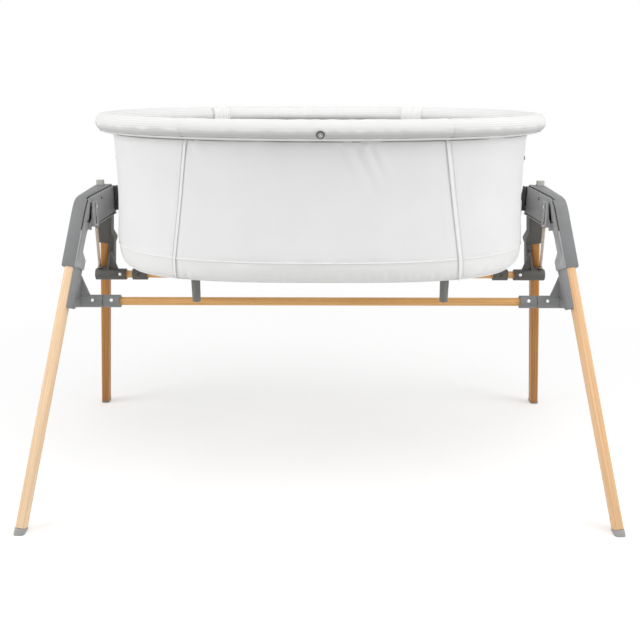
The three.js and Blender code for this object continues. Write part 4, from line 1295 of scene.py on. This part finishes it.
    def base(self) -> None:
        """The cloth floor, drawn tight under the board, with a soft sag between its edges."""
        outer = self.levels[-1]
        rings, columns = 39, 360
        shares = np.linspace(1, 0.0, rings + 1)[:-1]
        sizes = outer.half_length * shares, outer.half_width * shares
        ovals = np.stack([*sizes, 2 + (outer.power - 2) * shares, np.full(rings, outer.height)], axis=1)
        points, _ = ring(ovals, columns)
        edge = np.clip((1 - shares) / 0.25, 0, 1)[:, None]
        points[:, :, 2] += edge * MM * (0.5 * ripple(points[:, :, 0], points[:, :, 1], 91, 0.3, 0.06) + 0.6)
        around = np.linspace(0, 2.1, columns + 1)[None, :]
        piece = grid_piece("base_cloth", points, around, 0.3 * shares[:, None], close_u=True)
        with editing(piece):
            bpy.ops.mesh.select_mode(type="EDGE")
            bpy.ops.mesh.select_all(action="DESELECT")
        for edge_item in piece.data.edges:
            edge_item.select = min(edge_item.vertices) >= (rings - 1) * columns
        with editing(piece):
            bpy.ops.mesh.edge_face_add()
        outward(piece)
        if piece.data.polygons[0].normal.z > 0:
            piece.data.flip_normals()
        apply_modifier(piece, "SOLIDIFY", thickness=self.cloth, offset=-1)
        self.sew(piece, self.plain)

    # ------------------------------------------------ seams

    def down_seam(self, seam: Seam, shift: float, out: float) -> Array:
        """The line of a seam down the wall and the band.

        Args:
            seam: The seam.
            shift: How far beside the seam the line lies, in metres round the basket.
            out: How far outside the skin.

        Returns:
            Points by 3.
        """
        ovals, _ = self.skin(self.levels[0].height - 4 * MM, self.levels[-1].height + MM, 90)
        points, normals = on_oval(ovals, seam.angle(ovals)[:, None])
        return points[:, 0] + np.cross(UP, normals[:, 0]) * shift + normals[:, 0] * out

    def round_seam(self, height: float) -> Array:
        """The line of a seam round the basket, just outside the skin.

        Args:
            height: Its height.

        Returns:
            Points by 3.
        """
        ovals, _ = self.skin(height + 0.1 * MM, height - 0.1 * MM, 2)
        points, normals = ring(ovals[:1], 420)
        return points[0] + normals[0] * 0.1 * MM

    def seam_lines(self) -> None:
        """The bindings down the basket between their stitches, and the seams round it."""
        for seam in self.seams:
            half = 5.6 * MM if seam.name.endswith("right") else 4.0 * MM
            path = self.down_seam(seam, 0, -0.3 * MM)
            self.sew(tube_piece(f"binding_{seam.name}", path, half, 14, squash=0.17), self.tape)
            for number, shift in enumerate((-half, half), 1):
                path = self.down_seam(seam, shift, 0)
                self.sew(tube_piece(f"stitches_{seam.name}_{number}", path, 0.4 * MM, 8), self.thread)
        for name, height, radius, sides, finish in (
            ("binding_waist", self.seam_height, 1.1 * MM, 10, self.tape),
            ("binding_foot", self.levels[-1].height + 1.2 * MM, 1.3 * MM, 10, self.tape),
            ("stitches_rim", self.rim_seam_height, 0.7 * MM, 8, self.seam_thread),
        ):
            self.sew(tube_piece(name, self.round_seam(height), radius, sides, closed=True), finish)

    # ------------------------------------------------ rim

    def rim(self) -> None:
        """The padded rim under its mesh cover, with its seams drawn in."""
        points, normals = (rows[0] for rows in ring(self.rim_line, self.rim_columns))
        run = np.linspace(0, step_lengths(np.vstack([points, points[:1]])).sum(), self.rim_columns + 1)
        around = np.linspace(0, TURN, self.rim_sides, endpoint=False)
        radius = np.full((self.rim_columns, self.rim_sides), self.rim_radius - self.rim_slack)
        side_run = np.broadcast_to(run[:-1, None], radius.shape)
        section = np.broadcast_to(around * self.rim_radius, radius.shape)
        radius += 0.35 * MM * ripple(side_run, 0.8 * section, 7, 0.12, 0.02, 14)
        for seam in self.seams:
            far = points[:, 1] * seam.row.value < 0
            near = (np.abs(points[:, 0] - seam.places[0]) + 1.0 * far)[:, None]
            radius += self.rim_pucker * bell(near, 10 * MM) * np.sin(around * 13)
            radius -= self.rim_dip * bell(near, 1.8 * MM)
        out = np.cos(around)[:, None] * normals[:, None] + np.sin(around)[:, None] * UP
        piece = grid_piece(
            "rim_cover", points[:, None] + out * radius[:, :, None],
            np.linspace(0, TURN * self.rim_radius, self.rim_sides + 1)[None, :], run[:, None], True, True,
        )
        outward(piece)
        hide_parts("rim_padding")
        self.sew(piece, self.rim_cloth)

    def rim_strip(
        self, name: str, span: Pair, section: Pair, lift: Callable[[Array], Array],
    ) -> tuple[Piece, Pair]:
        """A strip of cloth laid on the rim's cover.

        Args:
            name: The piece's name.
            span: Where it starts and ends round the rim, in radians counted from +X.
            section: Its two edges on the rim's section, in degrees counted up from the outside.
            lift: Gives moves outwards for the run round the rim in metres.

        Returns:
            The piece and its flat size.
        """
        first, last = (np.array([angle]) for angle in span)
        length = float(step_lengths(on_oval(self.rim_line, evened(self.rim_line, first, last, 300))[0]).sum())
        columns = max(24, int(length / (1.5 * MM)))
        points, normals = on_oval(self.rim_line, evened(self.rim_line, first, last, columns + 1))
        closed = span[1] - span[0] > 6
        run = np.linspace(0, length, columns + 1)
        angles = np.radians(np.linspace(*section, 12))[:, None, None]
        out = np.cos(angles) * normals + np.sin(angles) * UP
        grid = points + out * (self.rim_radius + self.strip_lift + lift(run)[None, :, None])
        height = math.radians(section[1] - section[0]) * self.rim_radius
        rows = np.linspace(0, height, 12)[:, None]
        piece = grid_piece(name, grid[:, :-1] if closed else grid, run[None, :], rows, close_u=closed)
        apply_modifier(piece, "SOLIDIFY", thickness=self.cloth, offset=-1)
        return piece, (height, length)

    def rim_strips(self) -> None:
        """The binding under the rim and the two gathered tabs inside it at the back."""
        binding, size = self.rim_strip("binding_rim", (0, TURN), (-97, -58), lambda run: 0 * run)
        self.sew(binding, self.tape)
        for number, ends in enumerate(self.tabs):
            edges = (Seam("tab", Row.REAR, (0,), (end,)) for end in reversed(ends))
            span = tuple(edge.angle(self.rim_line)[0] for edge in edges)

            def creases(run: Array) -> Array:
                """Uneven gathers along the tab."""
                folds = np.abs(np.sin(math.pi * run / (7 * MM) + 2.1 * np.sin(run / (9 * MM) + number)))
                return 1.9 * MM * folds ** 0.7

            piece, size = self.rim_strip(f"gathered_tab_{number + 1}", span, (118, 216), creases)
            self.sew(piece, self.plain)

    # ------------------------------------------------ snaps

    def button(
        self, name: str, centre: Vector, facing: Vector, radius: float, height: float, finish: Metal
    ) -> Piece:
        """A pressed metal button: a rolled edge, a moat and a raised middle.

        Args:
            name: The piece's name.
            centre: The middle of its back.
            facing: The way it faces.
            radius: Its radius in metres.
            height: Its height in metres.
            finish: Its finish.

        Returns:
            The piece.
        """
        piece = disc(name, radius, height, 48)
        for inset, rise in ((0.16, 0.0), (0.14, -0.45), (0.2, 0.0), (0.08, 0.35), (0.2, 0.12)):
            for polygon in piece.data.polygons:
                polygon.select = polygon.normal.z > 0.99 and len(polygon.vertices) > 8
            with editing(piece):
                bpy.ops.mesh.select_mode(type="FACE")
                bpy.ops.mesh.inset(thickness=radius * inset, depth=height * rise)
            for polygon in piece.data.polygons:
                polygon.select = False
        soften(piece, radius * 0.05)
        lay(piece, centre, turn_to(facing))
        enrol(piece, "basket", finish)
        return piece

    def snaps(self) -> None:
        """The press snap on the rim and the rivets on the end panels."""
        low, high = corners("rim_snap")
        radius, tilt = (high.x - low.x) / 2, math.radians(self.snap_tilt)
        facing = Vector((0, -math.cos(tilt), -math.sin(tilt)))
        _, rim_width, _, rim_height = self.rim_line[0]
        centre = Vector((0, -rim_width, rim_height)) + facing * (self.rim_radius - 0.3 * MM)
        snap = self.button("press_snap_ring", centre, facing, radius * 0.96, 1.9 * MM, self.dark_steel)
        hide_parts("rim_snap")
        self.button("press_snap_cap", centre + facing * 0.7 * MM, facing, radius * 0.52, 2.0 * MM, self.steel)
        ovals, _ = self.skin(self.rivet_height + 0.1 * MM, self.rivet_height - 0.1 * MM, 2)
        for side, angle in ((Side.LEFT, math.pi + 0.17), (Side.RIGHT, -0.19)):
            spot, normal = (Vector(rows[0, 0]) for rows in on_oval(ovals[:1], np.array([[angle]])))
            place = spot - normal * 0.3 * MM
            self.button(f"end_rivet_{side.word}", place, normal, *self.rivet_size, self.dark_steel)

    # ------------------------------------------------ frame and mattress

    def inner_frame(self) -> None:
        """Dress the rim tube, base tube and board."""
        dress_node("rim_tube", "basket", self.steel, 0, smooth=60)
        dress_node("base_tube", "basket", self.steel, 0, smooth=60)
        dress_node("base_board", "basket", self.board, 0.6 * MM)

    def feet(self) -> None:
        """Dress the basket's feet."""
        for side in Side:
            for row in Row:
                foot = f"basket_foot_{row.word}_{side.word}"
                dress_node(foot, "basket", self.foot, MM, 3)

    def mattress(self) -> None:
        """The mattress: a crowned pad, swelled as a pressed cloth."""
        low, high = corners("mattress")
        size, centre = (high - low) / 2, (high + low) / 2
        rows, columns = 22, 160
        profile = np.linspace(-math.pi / 2, math.pi / 2, rows)
        shares = np.maximum(np.cos(profile) ** 0.35, 0.02)
        heights = centre.z + np.sign(profile) * np.abs(np.sin(profile)) ** 0.8 * (size.z - 1.5 * MM)
        sizes = shares * (size.x - 2 * MM), shares * (size.y - 2 * MM)
        points, _ = ring(np.stack([*sizes, np.full(rows, self.mattress_power), heights], axis=1), columns)
        points[:, :, :2] += (centre.x, centre.y)
        piece = grid_piece("mattress_pad", points, np.zeros((rows, columns + 1)), np.zeros(1), close_u=True)
        outward(piece, holes=True)
        piece.data.remesh_voxel_size = 6 * MM
        make_active(piece)
        bpy.ops.object.voxel_remesh()
        self.press(piece)
        places = np.array([vertex.co for vertex in piece.data.vertices], dtype=np.float32)
        loops = [loop.vertex_index for loop in piece.data.loops]
        piece.data.uv_layers.new(name="flat").data.foreach_set("uv", places[loops][:, :2].ravel())
        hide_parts("mattress")
        self.sew(piece, self.plain)

    def press(self, piece: Piece) -> None:
        """Swell the mattress as pressed cloth, and keep each point near its start.

        Args:
            piece: The pad.
        """
        start = np.empty(len(piece.data.vertices) * 3, dtype=np.float32)
        moved = np.empty_like(start)
        piece.data.vertices.foreach_get("co", start)
        settings = piece.modifiers.new("Cloth", "CLOTH").settings
        settings.use_pressure = True
        settings.uniform_pressure_force = self.mattress_pressure
        settings.effector_weights.gravity = 0
        settings.quality = 4
        scene = bpy.context.scene
        for number in range(1, 21):
            scene.frame_set(number)
        result = piece.evaluated_get(bpy.context.evaluated_depsgraph_get())
        result.data.vertices.foreach_get("co", moved)
        piece.modifiers.clear()
        scene.frame_set(1)
        delta = (moved - start).reshape(-1, 3)
        length = np.linalg.norm(delta, axis=1)[:, None]
        delta *= np.minimum(1, self.mattress_swell / np.maximum(length, 1e-9))
        piece.data.vertices.foreach_set("co", (start.reshape(-1, 3) + delta).ravel())
        piece.data.update()


# ---------------------------------------------------------------- studio


@dataclass
class Studio:
    """A plain pale floor, soft lamps and the camera."""

    eye: Place = (0.0, -1.6094, 0.8119)
    down: float = 0.2989
    roll: float = 0.0022
    lens: float = 45.0
    sensor: float = 36.0
    floor_size: float = 60.0
    floor_glow: float = 0.34
    shadow_reach: float = 0.75
    world_light: float = 0.385

    def build(self) -> None:
        """Set up the whole studio."""
        self.camera()
        self.floor()
        self.world()
        self.lamp("top_softbox", (0.3, -0.8, 2.9), (2.6, 2.0), 30)
        self.lamp("left_softbox", (-2.9, -1.2, 1.7), (1.8, 1.8), 40)
        self.lamp("right_softbox", (2.9, -1.3, 1.7), (1.8, 1.8), 37)
        bpy.context.scene.view_settings.view_transform = "Standard"

    def camera(self) -> None:
        """The camera at the bassinet's front, a little above it."""
        data = bpy.data.cameras.new("camera")
        data.lens = self.lens
        data.sensor_width = self.sensor
        camera = bpy.data.objects.new("camera", data)
        camera.location = self.eye
        turn = Matrix.Rotation(math.pi / 2 - self.down, 4, "X") @ Matrix.Rotation(self.roll, 4, "Z")
        camera.rotation_euler = turn.to_euler()
        bpy.context.scene.collection.objects.link(camera)
        bpy.context.scene.camera = camera

    def floor(self) -> None:
        """The floor: pale, white to the camera away from the object, with the object's shadow on it."""
        clear_selection()
        bpy.ops.mesh.primitive_plane_add(size=self.floor_size)
        plane = bpy.context.object
        plane.name = "studio_floor"
        shader = Shader(bpy.data.materials.new("studio_floor"))
        seen = shader.seen
        ground = shader.node("BsdfPrincipled", {"Base Color": (0.8, 0.8, 0.8), "Roughness": 0.9}).outputs[0]
        glow, white = (
            shader.node("Emission", {"Color": WHITE, "Strength": strength}).outputs[0]
            for strength in (shader.math("MULTIPLY", seen, self.floor_glow), 1.0)
        )
        added = shader.node("AddShader", {0: ground, 1: glow}).outputs[0]
        distance = shader.node("VectorMath", {0: shader.here}, operation="LENGTH").outputs["Value"]
        fading = shader.between(distance, self.shadow_reach, 2 * self.shadow_reach)
        away = shader.math("MULTIPLY", fading, seen)
        shader.show(shader.node("MixShader", {0: away, 1: added, 2: white}).outputs[0])
        dress(plane, shader.owner)

    def world(self) -> None:
        """White to the camera and in reflections, and a plain soft light elsewhere."""
        world = bpy.data.worlds.new("studio")
        bpy.context.scene.world = world
        shader = Shader(world)
        light, white = (
            shader.node("Background", {"Color": WHITE, "Strength": strength}).outputs[0]
            for strength in (self.world_light, 1.0)
        )
        shader.show(shader.node("MixShader", {0: shader.seen, 1: light, 2: white}).outputs[0])

    def lamp(self, name: str, place: Place, size: Pair, power: float) -> None:
        """A soft rectangular lamp that points at the basket.

        Args:
            name: The lamp's name.
            place: Where it hangs.
            size: Its two sides in metres.
            power: Its power in watts.
        """
        data = bpy.data.lights.new(name, "AREA")
        data.shape = "RECTANGLE"
        data.size, data.size_y = size
        data.energy = power
        lamp = bpy.data.objects.new(name, data)
        lamp.location = place
        way = Vector((0, 0, 0.5)) - Vector(place)
        lamp.rotation_euler = way.to_track_quat("-Z", "Y").to_euler()
        bpy.context.scene.collection.objects.link(lamp)


def main() -> None:
    """Build the bassinet and its studio."""
    logging.basicConfig(level=logging.INFO, format="%(name)s: %(message)s")
    Studio().build()
    Stand().build()
    Basket().build()


if __name__ == "__main__":
    main()
